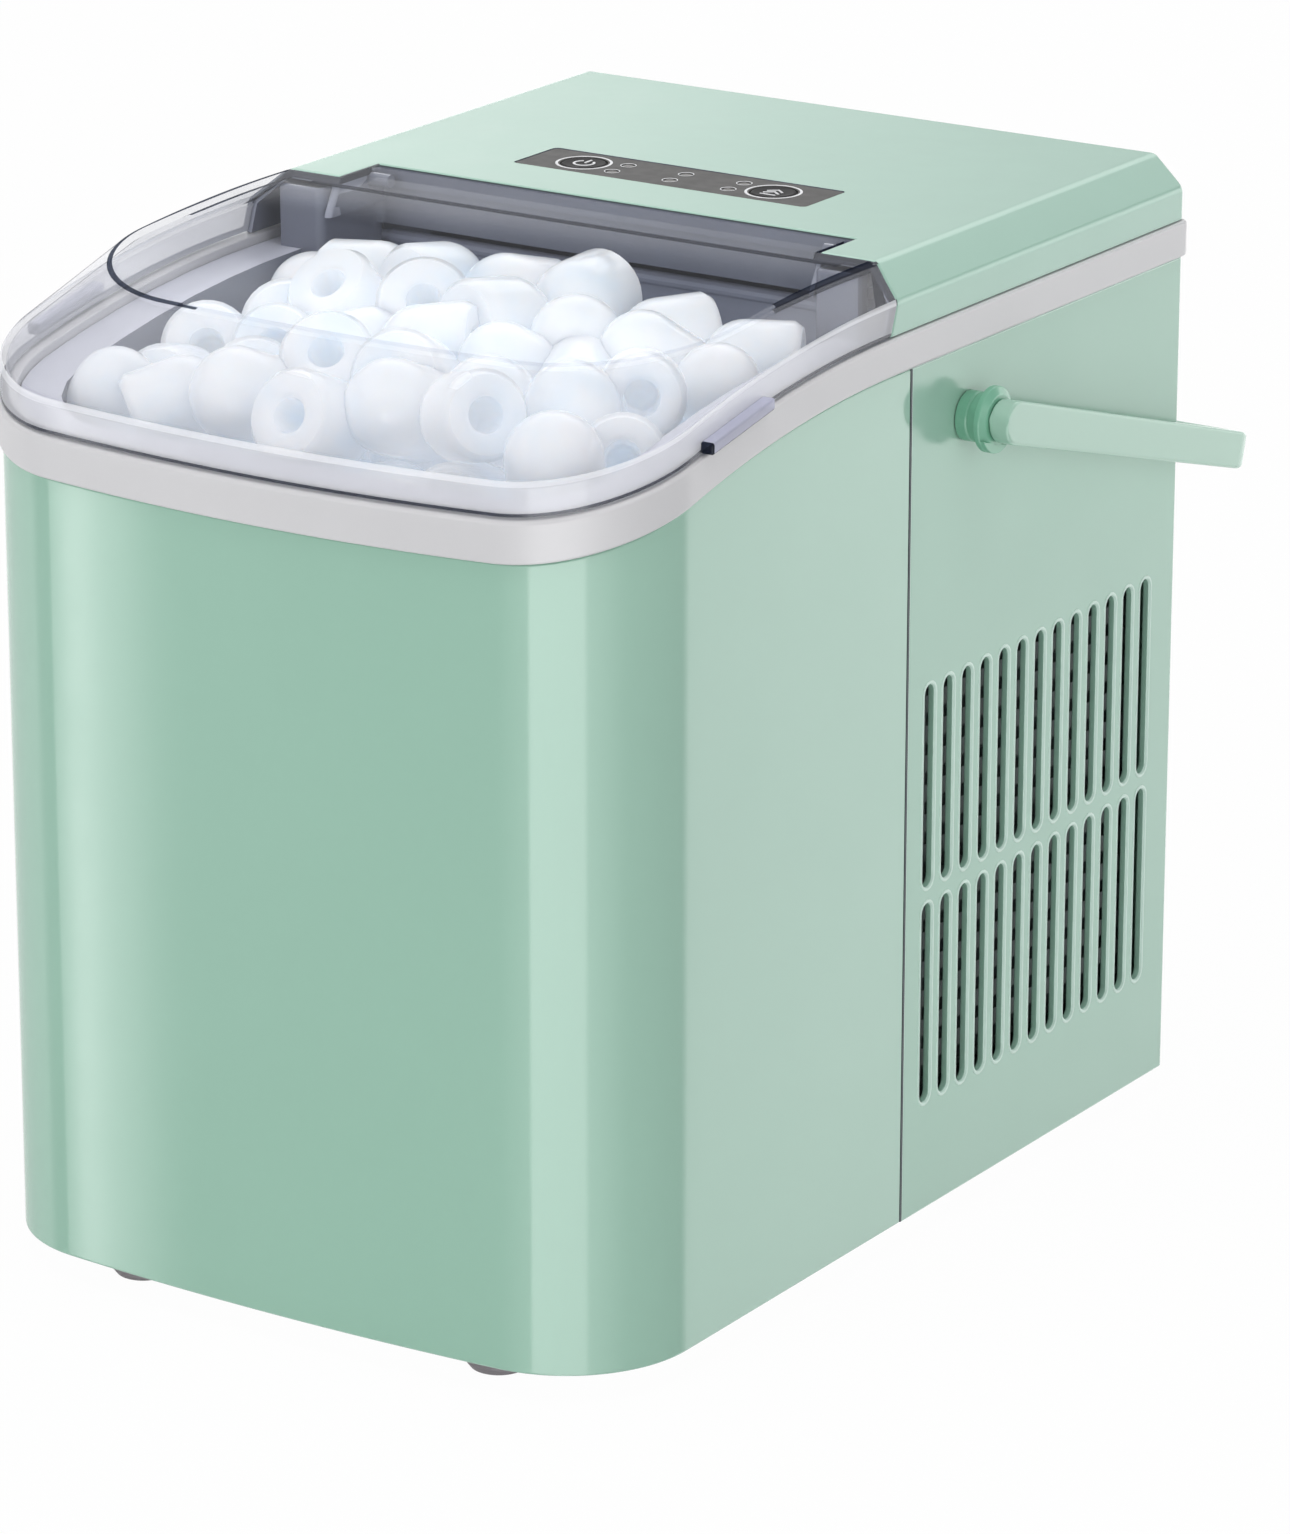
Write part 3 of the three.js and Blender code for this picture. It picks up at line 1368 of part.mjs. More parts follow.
function makeFanRotor() {
  const from = fanInner + fanMotorThickness + runningGap;
  const to = fanOuter - 3;
  const hub = rod('x', [0, condenserY, fanZ], fanHubRadius, from, to, 20);
  const bore = rod('x', [0, condenserY, fanZ], fanShaftRadius + fit, from - 1, fanOuter - 7 + fit, 10);
  const blades = [];
  for (let i = 0; i < fanBladeCount; i += 1) {
    const blade = new THREE.BoxGeometry(1.6, 15, fanBladeRadius - fanHubRadius + 2);
    blade.rotateZ(THREE.MathUtils.degToRad(fanBladePitch));
    blade.translate(0, 0, (fanBladeRadius + fanHubRadius - 2) / 2);
    blade.rotateX((i * 2 * Math.PI) / fanBladeCount);
    blade.translate((from + to) / 2, condenserY, fanZ);
    blades.push(solid(blade));
  }
  return union([hub, ...blades]).subtract(bore);
}

addPiece('condenser', makeCondenser(), colour.steel, 0.45, 0.8);
addPiece('fan_frame', makeFanFrame(), colour.black, 0.5);
addPiece('fan_rotor', makeFanRotor(), colour.black, 0.5);

// ---------------------------------------------------------------- refrigerant lines

function makeDischargeTube() {
  const [x, y] = portPlace(dischargePortAngle);
  const rise = portTop + lineRise;
  const arch = (condenserTop + chamberUnderside) / 2;
  const endY = condenserFront + 20;
  return tube([
    [x, y, portTop + fit], [x, y, portTop + lineRise / 2], [x + lineBend, y - lineEnd, rise],
    [x + 4 * lineBend, y - 2 * lineBend, rise + 1],
    [condenserInner - 14, endY + lineBend, condenserTop + lineEnd],
    [condenserX - 5, endY + 2, arch], [condenserX, endY, (arch + condenserTop) / 2],
    [condenserX, endY, condenserTop + fit],
  ], dischargeRadius, 28, 6);
}

const drierX = -halfWidth + drierSideInset;
const drierY = rearY - drierRearInset;

function makeLiquidTube() {
  const z = drierZ - liquidTubeDrop;
  const back = innerRearY - lineWallGap;
  const start = condenserRear + condenserPlate + fit;
  return tube([
    [condenserX, start, z], [condenserX, (start + back) / 2, z],
    [condenserX - liquidTubeDrop, back, z], [0, back, z],
    [drierX + lineBend + lineEnd, back, z - lineEnd / 2],
    [drierX + lineEnd, back - liquidTubeDrop, z - lineEnd],
    [drierX, drierY + lineEnd, z - lineEnd], [drierX, drierY, drierZ - liquidTubeDrop],
    [drierX, drierY, drierZ - fit],
  ], liquidRadius, 28, 6);
}

const drierTop = drierZ + drierLength;

function makeDrier() {
  const neck = drierRadius * 0.4;
  return turned([
    [0, drierZ], [neck, drierZ], [neck, drierZ + 3], [drierRadius, drierZ + 9],
    [drierRadius, drierTop - 9], [neck, drierTop - 3], [neck, drierTop], [0, drierTop],
  ], 'z', [drierX, drierY, 0], 16);
}

const overLiner = flangeTop + 7;

function makeCapillaryTube() {
  const endX = -evaporatorHalf + 6;
  return tube([
    [drierX, drierY, drierTop + fit], [drierX, drierY, drierTop + 2 * lineBend],
    [drierX, drierY, overLiner - 2 * lineBend], [drierX + lineEnd, drierY - 2 * lineEnd, overLiner],
    [drierX + lineBend, chamberRearY - lineBend, overLiner + 1],
    [endX - lineEnd, evaporatorY + lineRise, overLiner + 1],
    [endX, evaporatorY, evaporatorTop + lineEnd],
    [endX, evaporatorY, evaporatorTop + fit],
  ], capillaryRadius, 26, 5);
}

function makeSuctionTube() {
  const [x, y] = portPlace(suctionPortAngle);
  const startX = evaporatorHalf - 6;
  const behind = chamberRearY + linerWall + flangeRear + 8;
  return tube([
    [startX, evaporatorY, evaporatorTop + fit], [startX, evaporatorY, evaporatorTop + lineEnd],
    [startX, evaporatorY + 2 * lineRise, overLiner + 2], [startX, behind - lineBend, overLiner + 2],
    [startX - 2, behind, overLiner - lineBend], [startX - lineBend, behind, chamberFloorZ],
    [x + lineRise, behind - lineEnd, portTop + 2 * lineBend], [x, y, portTop + lineBend],
    [x, y, portTop + fit],
  ], suctionRadius, 32, 6);
}

addPiece('discharge_tube', makeDischargeTube(), colour.copper, 0.3, 0.9);
addPiece('liquid_tube', makeLiquidTube(), colour.copper, 0.3, 0.9);
addPiece('filter_drier', makeDrier(), colour.copper, 0.3, 0.9);
addPiece('capillary_tube', makeCapillaryTube(), colour.copper, 0.3, 0.9);
addPiece('suction_tube', makeSuctionTube(), colour.copper, 0.3, 0.9);

// ---------------------------------------------------------------- electrics

const powerBoardZ = bandBottom - powerBoardDrop;

function makePowerBoard() {
  const back = innerRearY - fit;
  const face = back - powerBoardStandoff;
  const w = powerBoardWidth / 2;
  const h = powerBoardHeight / 2;
  const plate = box(powerBoardX - w, powerBoardX + w, face - boardThickness, face, powerBoardZ - h,
    powerBoardZ + h);
  const standoffs = [];
  for (const sx of [-1, 1]) {
    for (const sz of [-1, 1]) {
      const place = [
        powerBoardX + sx * (w - powerBoardMargin), 0, powerBoardZ + sz * (h - powerBoardMargin),
      ];
      standoffs.push(rod('y', place, standoffRadius, face - 0.5, back, 10));
    }
  }
  const front = face - boardThickness;
  const left = powerBoardX - w + componentMargin;
  const right = powerBoardX + w - componentMargin;
  const low = powerBoardZ - h + componentMargin;
  const high = powerBoardZ + h - componentMargin;
  const transformer = box(left, left + transformerWidth, front - transformerDepth, front + 0.5,
    low, low + transformerHeight);
  const relay = box(right - relayWidth, right, front - relayDepth, front + 0.5, low, low + relayHeight);
  const capacitor = rod('y', [right - capacitorRadius, 0, high - capacitorRadius], capacitorRadius,
    front - capacitorLength, front + 0.5, 14);
  return union([plate, ...standoffs, transformer, relay, capacitor]);
}

function makePowerInlet() {
  const seat = rearY + fit;
  const w = inletWidth / 2;
  const h = inletHeight / 2;
  const body = box(inletX - w, inletX + w, seat - inletDepth, seat + 0.5, inletZ - h, inletZ + h);
  const flange = box(inletX - w - inletFlange, inletX + w + inletFlange, seat, seat + inletFlangeThickness,
    inletZ - h - 2, inletZ + h + 2);
  const recess = box(inletX - w + 2, inletX + w - 2, seat - inletDepth + 3, far, inletZ - h + 2,
    inletZ + h - 2);
  const pins = [-7, 0, 7].map((x) => (
    box(inletX + x - 1, inletX + x + 1, seat - inletDepth + 2, seat - 3, inletZ - 2.5, inletZ + 2.5)));
  return union([union([body, flange]).subtract(recess), ...pins]);
}

addPiece('power_board', makePowerBoard(), colour.board, 0.5);
addPiece('power_inlet', makePowerInlet(), colour.black, 0.5);

// ---------------------------------------------------------------- origin under the middle

group.updateMatrixWorld(true);
const extent = new THREE.Box3().setFromObject(group, true);
group.position.y = -(extent.min.y + extent.max.y) / 2;
group.updateMatrixWorld(true);

export default group;
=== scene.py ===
"""A countertop ice maker in Blender: pieces, finishes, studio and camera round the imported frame.

Lengths are millimetres in the case's own coordinates: centred on X and Y, with Z up from the floor.
to_frame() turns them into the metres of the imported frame.
"""

import math
import random
from contextlib import contextmanager

import bmesh
import bpy
from mathutils import Matrix, Vector


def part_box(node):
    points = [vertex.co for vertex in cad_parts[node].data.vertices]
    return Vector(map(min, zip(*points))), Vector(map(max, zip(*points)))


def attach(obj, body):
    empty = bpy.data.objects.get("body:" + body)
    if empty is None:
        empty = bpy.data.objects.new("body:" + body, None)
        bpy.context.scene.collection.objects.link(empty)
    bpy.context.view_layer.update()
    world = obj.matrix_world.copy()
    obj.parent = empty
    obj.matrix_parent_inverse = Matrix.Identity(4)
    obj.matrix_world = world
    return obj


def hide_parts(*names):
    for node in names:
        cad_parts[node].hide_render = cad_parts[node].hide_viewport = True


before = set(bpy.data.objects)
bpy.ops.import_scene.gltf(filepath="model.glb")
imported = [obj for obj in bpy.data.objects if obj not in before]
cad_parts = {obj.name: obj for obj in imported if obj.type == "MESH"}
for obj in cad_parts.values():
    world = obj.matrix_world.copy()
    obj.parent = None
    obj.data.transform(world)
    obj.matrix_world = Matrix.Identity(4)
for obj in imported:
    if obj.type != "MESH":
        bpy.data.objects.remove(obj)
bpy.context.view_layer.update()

# ---------------------------------------------------------------- sizes, read from the frame

MM = 0.001
origin_y = (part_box("front_shell")[0].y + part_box("rear_panel")[1].y) / 2


def to_frame(point):
    return Vector((point[0] * MM, point[1] * MM + origin_y, point[2] * MM))


def from_frame(point):
    return (Vector(point) - Vector((0, origin_y, 0))) / MM


def limits(node):
    """Lowest and highest corner of a CAD node, in case millimetres."""
    return tuple(from_frame(corner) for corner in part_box(node))


shell_low, shell_high = limits("front_shell")
half_width = shell_high.x
front_y = shell_low.y
rear_y = limits("rear_panel")[1].y
case_bottom = shell_low.z
cover_bottom, height = (corner.z for corner in limits("top_cover"))
band_top = limits("trim_band")[1].z
panel_front = limits("right_side_panel")[0].y
side_top = limits("right_side_panel")[1].z

# Sizes that the part's own source names, which a box doesn't show
FIT = 0.3
CASE_WALL = 2.4
FRONT_CORNER = 39.7
REAR_CORNER = 2
FRONT_BOW = 939
REAR_RETURN = 9
SWEEP_START = -10
BAND_TOP_SWEEP = 450
BAND_BOTTOM_SWEEP = 427
LID_TOP_SWEEP = 646
BAND_PROUD = 1.5
BAND_INSET = 4.5
BAND_LIP = 5
LEDGE_DROP = 2.6
LINER_WALL = 2.2

band_bottom = side_top + FIT


# ---------------------------------------------------------------- outlines and edges


def arc(cx, cy, radius, start, end, steps):
    """Points on an arc, both ends included, angles in degrees."""
    turn = (end - start) / steps
    angles = [math.radians(start + turn * i) for i in range(steps + 1)]
    return [(cx + radius * math.cos(a), cy + radius * math.sin(a)) for a in angles]


def bowed_front(half_x, front, corner, bow):
    """Corner centre, bow centre and half angle of a bowed front with round corners."""
    corner_x = half_x - corner
    bow_y = front + bow
    corner_y = bow_y - math.sqrt((bow - corner) ** 2 - corner_x**2)
    return corner_x, corner_y, bow_y, math.degrees(math.atan2(corner_x, bow_y - corner_y))


front_corner_x, tangent_y, front_bow_y, bow_turn = bowed_front(
    half_width, front_y, FRONT_CORNER, FRONT_BOW
)


def swept(rear_z, radius):
    """An edge's height at y: level behind SWEEP_START, on an arc in front of it."""

    def height_at(y):
        run = max(SWEEP_START - y, 0)
        return rear_z - radius + math.sqrt(radius**2 - run**2)

    return height_at


def level(z):
    return lambda y: z


band_high = swept(band_top, BAND_TOP_SWEEP)
band_low = swept(band_bottom, BAND_BOTTOM_SWEEP)


def straight(point, out):
    """A station on a path: gives the point that lies an offset further out."""
    return lambda offset: (point[0] + out[0] * offset, point[1] + out[1] * offset)


def arc_stations(cx, cy, radius, start, end, steps, outward=1):
    """Stations on an arc; offsets lead away from its centre, or towards it if outward is -1."""
    return [
        straight((cx + radius * nx, cy + radius * ny), (outward * nx, outward * ny))
        for nx, ny in arc(0, 0, 1, start, end, steps)
    ]


def line_stations(start, end, out, steps):
    """Stations between two points, without the two points themselves."""
    (x0, y0), (x1, y1) = start, end
    shares = [i / steps for i in range(1, steps)]
    return [straight((x0 + (x1 - x0) * t, y0 + (y1 - y0) * t), out) for t in shares]


def rear_corner_stations(side, start, end, steps=6):
    """The case's rear corner, which keeps a small radius however far in it is followed."""
    stations = []
    for nx, ny in arc(0, 0, 1, start, end, steps):

        def at(offset, nx=nx, ny=ny):
            radius = max(REAR_CORNER + offset, 0.6)
            x = side * (half_width + offset - radius)
            return x + nx * radius, rear_y + offset - radius + ny * radius

        stations.append(at)
    return stations


def front_stations(corner_steps=28, bow_steps=20):
    """Round the front from the tangent on the left side to the one on the right."""
    x, y, bow_y, turn = front_corner_x, tangent_y, front_bow_y, bow_turn
    return [
        *arc_stations(-x, y, FRONT_CORNER, 180, 270 - turn, corner_steps),
        *arc_stations(0, bow_y, FRONT_BOW, 270 - turn, 270 + turn, bow_steps)[1:-1],
        *arc_stations(x, y, FRONT_CORNER, 270 + turn, 360, corner_steps),
    ]


def case_loop():
    """Stations all the way round the case, anticlockwise."""
    w, y = half_width, rear_y - REAR_CORNER
    return [
        *rear_corner_stations(1, 0, 90),
        *rear_corner_stations(-1, 90, 180),
        *line_stations((-w, y), (-w, SWEEP_START), (-1, 0), 5),
        *line_stations((-w, SWEEP_START), (-w, tangent_y), (-1, 0), 24),
        *front_stations(),
        *line_stations((w, tangent_y), (w, SWEEP_START), (1, 0), 24),
        *line_stations((w, SWEEP_START), (w, y), (1, 0), 5),
    ]


def rounded_section(outer, inner, low, high, corners):
    """A section from its outer low corner on, anticlockwise with the outside to the right.

    Each corner is a pair of radius and steps, and each place is an offset, an edge and a rise
    above that edge.
    """
    turns = [(outer, low, -1, 1, 270), (outer, high, -1, -1, 0),
             (inner, high, 1, -1, 90), (inner, low, 1, 1, 180)]
    places = []
    for (offset, edge, inwards, up, start), (radius, steps) in zip(turns, corners):
        spots = arc(offset + inwards * radius, up * radius, radius, start, start + 90, steps)
        places += [(o, edge, rise) for o, rise in spots]
    return places


def slot_outline(across, low, high, width, steps=8):
    r = width / 2
    return [*arc(across, low + r, r, 180, 360, steps), *arc(across, high - r, r, 0, 180, steps)]


def round_outline(x0, x1, y0, y1, r, steps=6):
    centres = [(x1 - r, y1 - r), (x0 + r, y1 - r), (x0 + r, y0 + r), (x1 - r, y0 + r)]
    return [p for i, (x, y) in enumerate(centres) for p in arc(x, y, r, 90 * i, 90 * i + 90, steps)]


def box_outline(x0, x1, y0, y1):
    return [(x0, y0), (x1, y0), (x1, y1), (x0, y1)]


def circle_outline(x, y, radius, steps=40):
    return arc(x, y, radius, 0, 360, steps)[:-1]


def spread(centre, reach):
    """Both limits in each of two coordinates, from a centre and how far it reaches."""
    (u, v), (du, dv) = centre, reach
    return u - du, u + du, v - dv, v + dv


# ---------------------------------------------------------------- mesh helpers


@contextmanager
def editing(mesh):
    """Opens a mesh for edits, which are written back at the end."""
    edit = bmesh.new()
    edit.from_mesh(mesh)
    yield edit
    edit.to_mesh(mesh)
    edit.free()


def faced(mesh):
    """The mesh with its faces turned outwards."""
    with editing(mesh) as edit:
        bmesh.ops.recalc_face_normals(edit, faces=edit.faces)
    return mesh


def mesh_from(points, faces):
    mesh = bpy.data.meshes.new("work")
    mesh.from_pydata([tuple(p) for p in points], [], faces)
    mesh.validate()
    return faced(mesh)


def sweep(stations, sections, closed=False):
    """A body through a section at each station; sections are lists of offset, edge and rise."""
    points = []
    for station, section in zip(stations, sections):
        for offset, edge, rise in section:
            x, y = station(offset)
            points.append((x, y, edge(y) + rise))
    count, rings = len(sections[0]), len(stations)
    faces = []
    for ring in range(rings if closed else rings - 1):
        low, high = ring * count, (ring + 1) % rings * count
        for i in range(count):
            after = (i + 1) % count
            faces.append((low + i, low + after, high + after, high + i))
    if not closed:
        faces += [tuple(range(count)), tuple(range((rings - 1) * count, rings * count))]
    return mesh_from(points, faces)


def added(name, data):
    """A new object of the scene."""
    obj = bpy.data.objects.new(name, data)
    bpy.context.scene.collection.objects.link(obj)
    return obj


def evaluated(obj):
    """The finished mesh of an object that is only used to make it, which is then removed."""
    bpy.context.view_layer.update()
    finished = obj.evaluated_get(bpy.context.evaluated_depsgraph_get())
    made = bpy.data.meshes.new_from_object(finished)
    bpy.data.objects.remove(obj)
    return made


def plate(outline, holes, thickness, bevel, steps=2):
    """A flat plate with round edges, from -thickness to 0 in its third coordinate."""
    curve = bpy.data.curves.new("plate", "CURVE")
    curve.dimensions = "2D"
    curve.fill_mode = "BOTH"
    curve.extrude = thickness / 2 - bevel
    curve.bevel_depth = bevel
    curve.bevel_resolution = steps
    curve.offset = -bevel
    for points in [outline, *holes]:
        spline = curve.splines.new("POLY")
        spline.points.add(len(points) - 1)
        for place, (u, v) in zip(spline.points, points):
            place.co = (u, v, 0, 1)
        spline.use_cyclic_u = True
    mesh = evaluated(added("work", curve))
    with editing(mesh) as edit:
        bmesh.ops.remove_doubles(edit, verts=edit.verts, dist=0.002)
        bmesh.ops.recalc_face_normals(edit, faces=edit.faces)
        bmesh.ops.translate(edit, verts=edit.verts, vec=(0, 0, -thickness / 2))
    return mesh


def moved(mesh, place):
    """The mesh with each point sent where place(u, v, w) says."""
    for vertex in mesh.vertices:
        vertex.co = place(*vertex.co)
    return faced(mesh)


def sliced(mesh, spots):
    """The mesh with an edge wherever its first coordinate passes one of the spots."""
    with editing(mesh) as edit:
        for spot in spots:
            whole = [*edit.verts, *edit.edges, *edit.faces]
            across = {"plane_co": (spot, 0, 0), "plane_no": (1, 0, 0)}
            bmesh.ops.bisect_plane(edit, geom=whole, dist=0.001, **across)
    return mesh


def prism(outline, z0, z1):
    """An outline in X and Y raised from z0 to z1."""
    count = len(outline)
    points = [(x, y, z) for z in (z0, z1) for x, y in outline]
    sides = [(i, (i + 1) % count, count + (i + 1) % count, count + i) for i in range(count)]
    return mesh_from(points, [tuple(range(count)), tuple(range(count, 2 * count)), *sides])


def prism_x(outline, x0, x1):
    """An outline in Y and Z drawn out from x0 to x1."""
    return moved(prism(outline, x0, x1), lambda y, z, x: (x, y, z))


def prism_y(outline, y0, y1):
    """An outline in X and Z drawn out from y0 to y1."""
    return moved(prism(outline, y0, y1), lambda x, z, y: (x, y, z))


def block(x0, x1, y0, y1, z0, z1):
    return prism(box_outline(x0, x1, y0, y1), z0, z1)


def lathe(profile, steps=48):
    """A turned body about Z, from pairs of radius and height that start and end on the axis."""
    points = [(0, 0, profile[0][1])]
    middle = profile[1:-1]
    for radius, z in middle:
        points += [(x, y, z) for x, y in circle_outline(0, 0, radius, steps)]
    points.append((0, 0, profile[-1][1]))
    faces = []
    last = len(points) - 1
    for i in range(steps):
        after = (i + 1) % steps
        faces.append((0, 1 + after, 1 + i))
        for ring in range(len(middle) - 1):
            low = 1 + ring * steps
            faces.append((low + i, low + after, low + steps + after, low + steps + i))
        high = last - steps
        faces.append((high + i, high + after, last))
    return mesh_from(points, faces)


def eased(before, at, after, reach, steps=4):
    """The corner at a point, rounded over reach on either side."""
    start = at + (before - at).normalized() * reach
    end = at + (after - at).normalized() * reach
    spots = [i / steps for i in range(steps + 1)]
    return [start * (1 - t) ** 2 + at * (2 * t * (1 - t)) + end * t**2 for t in spots]


def turned(profile, soft, z=0, around=48, steps=3):
    """A lathe body from a profile measured from a height, with its corners rounded."""
    profile = [(radius, z + rise) for radius, rise in profile]
    rounded = [profile[0]]
    spots = [Vector(spot) for spot in profile]
    for before, at, after in zip(spots, spots[1:], spots[2:]):
        reach = min(soft, (before - at).length * 0.45, (after - at).length * 0.45)
        rounded += [tuple(spot) for spot in eased(before, at, after, reach, steps)]
    return lathe([*rounded, profile[-1]], around)


def placed(mesh, centre, axis=(0, 0, 1)):
    """A body about Z, turned about another axis and moved to its centre."""
    turn = Vector((0, 0, 1)).rotation_difference(Vector(axis)).to_matrix().to_4x4()
    mesh.transform(Matrix.Translation(Vector(centre)) @ turn)
    return mesh


def combined(body, operation, *others):
    """A closed body with others cut from it, joined to it or intersected with it, one by one."""
    for other in others:
        obj, tool = added("work", body), added("work", other)
        change = obj.modifiers.new("combine", "BOOLEAN")
        change.operation = operation
        change.solver = "EXACT"
        change.object = tool
        body = evaluated(obj)
        bpy.data.objects.remove(tool)
    return body


def cut(body, *cutters):
    return combined(body, "DIFFERENCE", *cutters)


def welded(mesh, reach):
    """The mesh with the near-double points that a boolean leaves made one."""
    with editing(mesh) as edit:
        bmesh.ops.remove_doubles(edit, verts=edit.verts, dist=reach)
        bmesh.ops.dissolve_degenerate(edit, edges=edit.edges, dist=reach)
    return mesh


def gathered(*meshes):
    """Several bodies in one mesh, left apart."""
    whole = bpy.data.meshes.new("work")
    with editing(whole) as edit:
        for mesh in meshes:
            edit.from_mesh(mesh)
    return whole


def bevelled(mesh, radius, steps=3, angle=20, keep=None):
    """The mesh with its edges rounded, apart from those that keep() picks out."""
    with editing(mesh) as edit:
        bmesh.ops.dissolve_limit(
            edit, angle_limit=math.radians(1), verts=edit.verts, edges=edit.edges
        )
        chosen = [
            edge
            for edge in edit.edges
            if len(edge.link_faces) == 2
            and edge.calc_face_angle() > math.radians(angle)
            and not (keep and keep(edge))
        ]
        bmesh.ops.bevel(
            edit, geom=chosen, offset=radius, segments=steps, profile=0.5, affect="EDGES",
            clamp_overlap=True,
        )
    return mesh


def piece(name, mesh, materials, replaces=None, body="case", sharp=32):
    """Puts a finished mesh into the scene on its CAD body, with smooth faces and its materials."""
    for vertex in mesh.vertices:
        vertex.co = to_frame(vertex.co)
    mesh.name = name
    mesh.materials.clear()
    for material in materials if isinstance(materials, list) else [materials]:
        mesh.materials.append(material)
    mesh.shade_smooth()
    mesh.set_sharp_from_angle(angle=math.radians(sharp))
    obj = added(name, mesh)
    obj.modifiers.new("shading", "WEIGHTED_NORMAL").keep_sharp = True
    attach(obj, body)
    if replaces:
        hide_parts(replaces)
    return obj


# ---------------------------------------------------------------- finishes


def srgb(red, green, blue):
    """A linear colour from 8-bit sRGB numbers."""
    shares = [value / 255 for value in (red, green, blue)]
    return (*[v / 12.92 if v <= 0.04045 else ((v + 0.055) / 1.055) ** 2.4 for v in shares], 1)


def tone(colour, factor):
    return tuple(min(c * factor, 1) for c in colour[:3]) + (1,)


class Graph:
    """A node tree whose nodes are added with their inputs wired or set."""

    def __init__(self, tree):
        self.tree = tree

    def add(self, kind, inputs=(), **settings):
        """A new node; inputs maps its sockets to values, to outputs or to nodes' first outputs."""
        made = self.tree.nodes.new("ShaderNode" + kind)
        for key, value in settings.items():
            setattr(made, key, value)
        self.wire(made, dict(inputs))
        return made

    def wire(self, node, inputs):
        for name, value in inputs.items():
            if isinstance(value, bpy.types.Node):
                value = value.outputs[0]
            if isinstance(value, bpy.types.NodeSocket):
                self.tree.links.new(value, node.inputs[name])
            else:
                node.inputs[name].default_value = value

    def ramp(self, factor, stops):
        made = self.add("ValToRGB", {"Fac": factor})
        elements = made.color_ramp.elements
        while len(elements) < len(stops):
            elements.new(0.5)
        for element, (spot, colour) in zip(elements, stops):
            element.position = spot
            element.color = colour
        return made


class Finish(Graph):
    """A node material round one Principled shader."""

    def __init__(self, name):
        self.material = bpy.data.materials.new(name)
        self.material.use_nodes = True
        super().__init__(self.material.node_tree)
        self.shader = self.tree.nodes["Principled BSDF"]
        self.place = self.add("TexCoord").outputs["Object"]

    def set(self, **values):
        """Sets or links the shader's sockets, with _ for a space in a socket's name."""
        self.wire(self.shader, {key.replace("_", " "): value for key, value in values.items()})

    def surface(self, shader):
        self.wire(self.tree.nodes["Material Output"], {"Surface": shader})

    def noise(self, scale, detail=2, stretch=(1, 1, 1)):
        """Noise with scale waves to the metre, drawn out along an axis by a stretch below 1."""
        place = self.add("Mapping", {"Vector": self.place, "Scale": stretch})
        return self.add("TexNoise", {"Vector": place, "Scale": scale, "Detail": detail})

    def tint(self, colour, spread, scale, stretch=(1, 1, 1)):
        stops = [(0.3, tone(colour, 1 - spread)), (0.7, tone(colour, 1 + spread))]
        self.set(Base_Color=self.ramp(self.noise(scale, 3, stretch), stops))

    def gloss(self, low, high, scale=90, stretch=(1, 1, 1)):
        span = {"From Min": 0.3, "From Max": 0.7, "To Min": low, "To Max": high}
        noise = self.noise(scale, 4, stretch)
        self.set(Roughness=self.add("MapRange", {"Value": noise, **span}))

    def bump(self, scale, depth, strength=1.0, detail=2, stretch=(1, 1, 1)):
        """A skin whose highest spots stand depth metres proud."""
        height = self.noise(scale, detail, stretch)
        size = {"Strength": strength, "Distance": depth}
        self.set(Normal=self.add("Bump", {"Height": height, **size}))


def finished(name, colour, cloud, shine, skin, **sockets):
    """A material from an sRGB colour and what tint(), gloss() and bump() need."""
    finish = Finish(name)
    finish.tint(srgb(*colour), *cloud)
    finish.gloss(*shine)
    finish.bump(*skin)
    finish.set(**sockets)
    return finish.material


def moulded(name, colour, roughness):
    """Moulded plastic: a faint cloud in its tone, uneven gloss and a fine spark-eroded skin."""
    shine = (roughness - 0.02, roughness + 0.02)
    return finished(name, colour, (0.02, 14), shine, (700, 0.0000015))


def lacquered(name, colour, roughness):
    """Gloss lacquer on a flat panel, with a long faint orange peel."""
    shine = (roughness - 0.015, roughness + 0.02, 40)
    return finished(name, colour, (0.012, 9), shine, (110, 0.0000025, 0.6))


def matt(name, colour, roughness, specular=0.15):
    """A matt printed or moulded face with little gloss."""
    shine = (roughness - 0.04, roughness + 0.04, 200)
    skin = (1200, 0.000003)
    return finished(name, colour, (0.03, 60), shine, skin, Specular_IOR_Level=specular)


def metal(name, colour, roughness, grain=(1, 1, 1)):
    """Bare or plated metal with streaks along its grain."""
    shine = (roughness - 0.05, roughness + 0.05, 260, grain)
    skin = (700, 0.00001, 0.5, 2, grain)
    return finished(name, colour, (0.06, 120, grain), shine, skin, Metallic=1.0)


def rubber(name, colour):
    return finished(name, colour, (0.07, 60), (0.55, 0.7), (1400, 0.00003))


def cast_iron(name, colour):
    return finished(name, colour, (0.12, 70), (0.35, 0.5, 150), (420, 0.00006, 0.8, 4))


def painted_light_by_facing(name, lit_ledge, wall):
    """The bin's moulding with painted light: pale where it faces up, as if lit from above, and
    darker where it stands upright, as painted shade.
    """
    finish = Finish(name)
    normal = finish.add("NewGeometry").outputs["Normal"]
    rise = finish.add("SeparateXYZ", {0: normal}).outputs["Z"]
    cloud = {0: finish.noise(20, 3), 1: 0.12, 2: rise}
    lit_share = finish.add("Math", cloud, operation="MULTIPLY_ADD")
    finish.set(Base_Color=finish.ramp(lit_share, [(0.25, srgb(*wall)), (0.85, srgb(*lit_ledge))]))
    finish.gloss(0.3, 0.38)
    finish.bump(700, 0.0000015)
    return finish.material


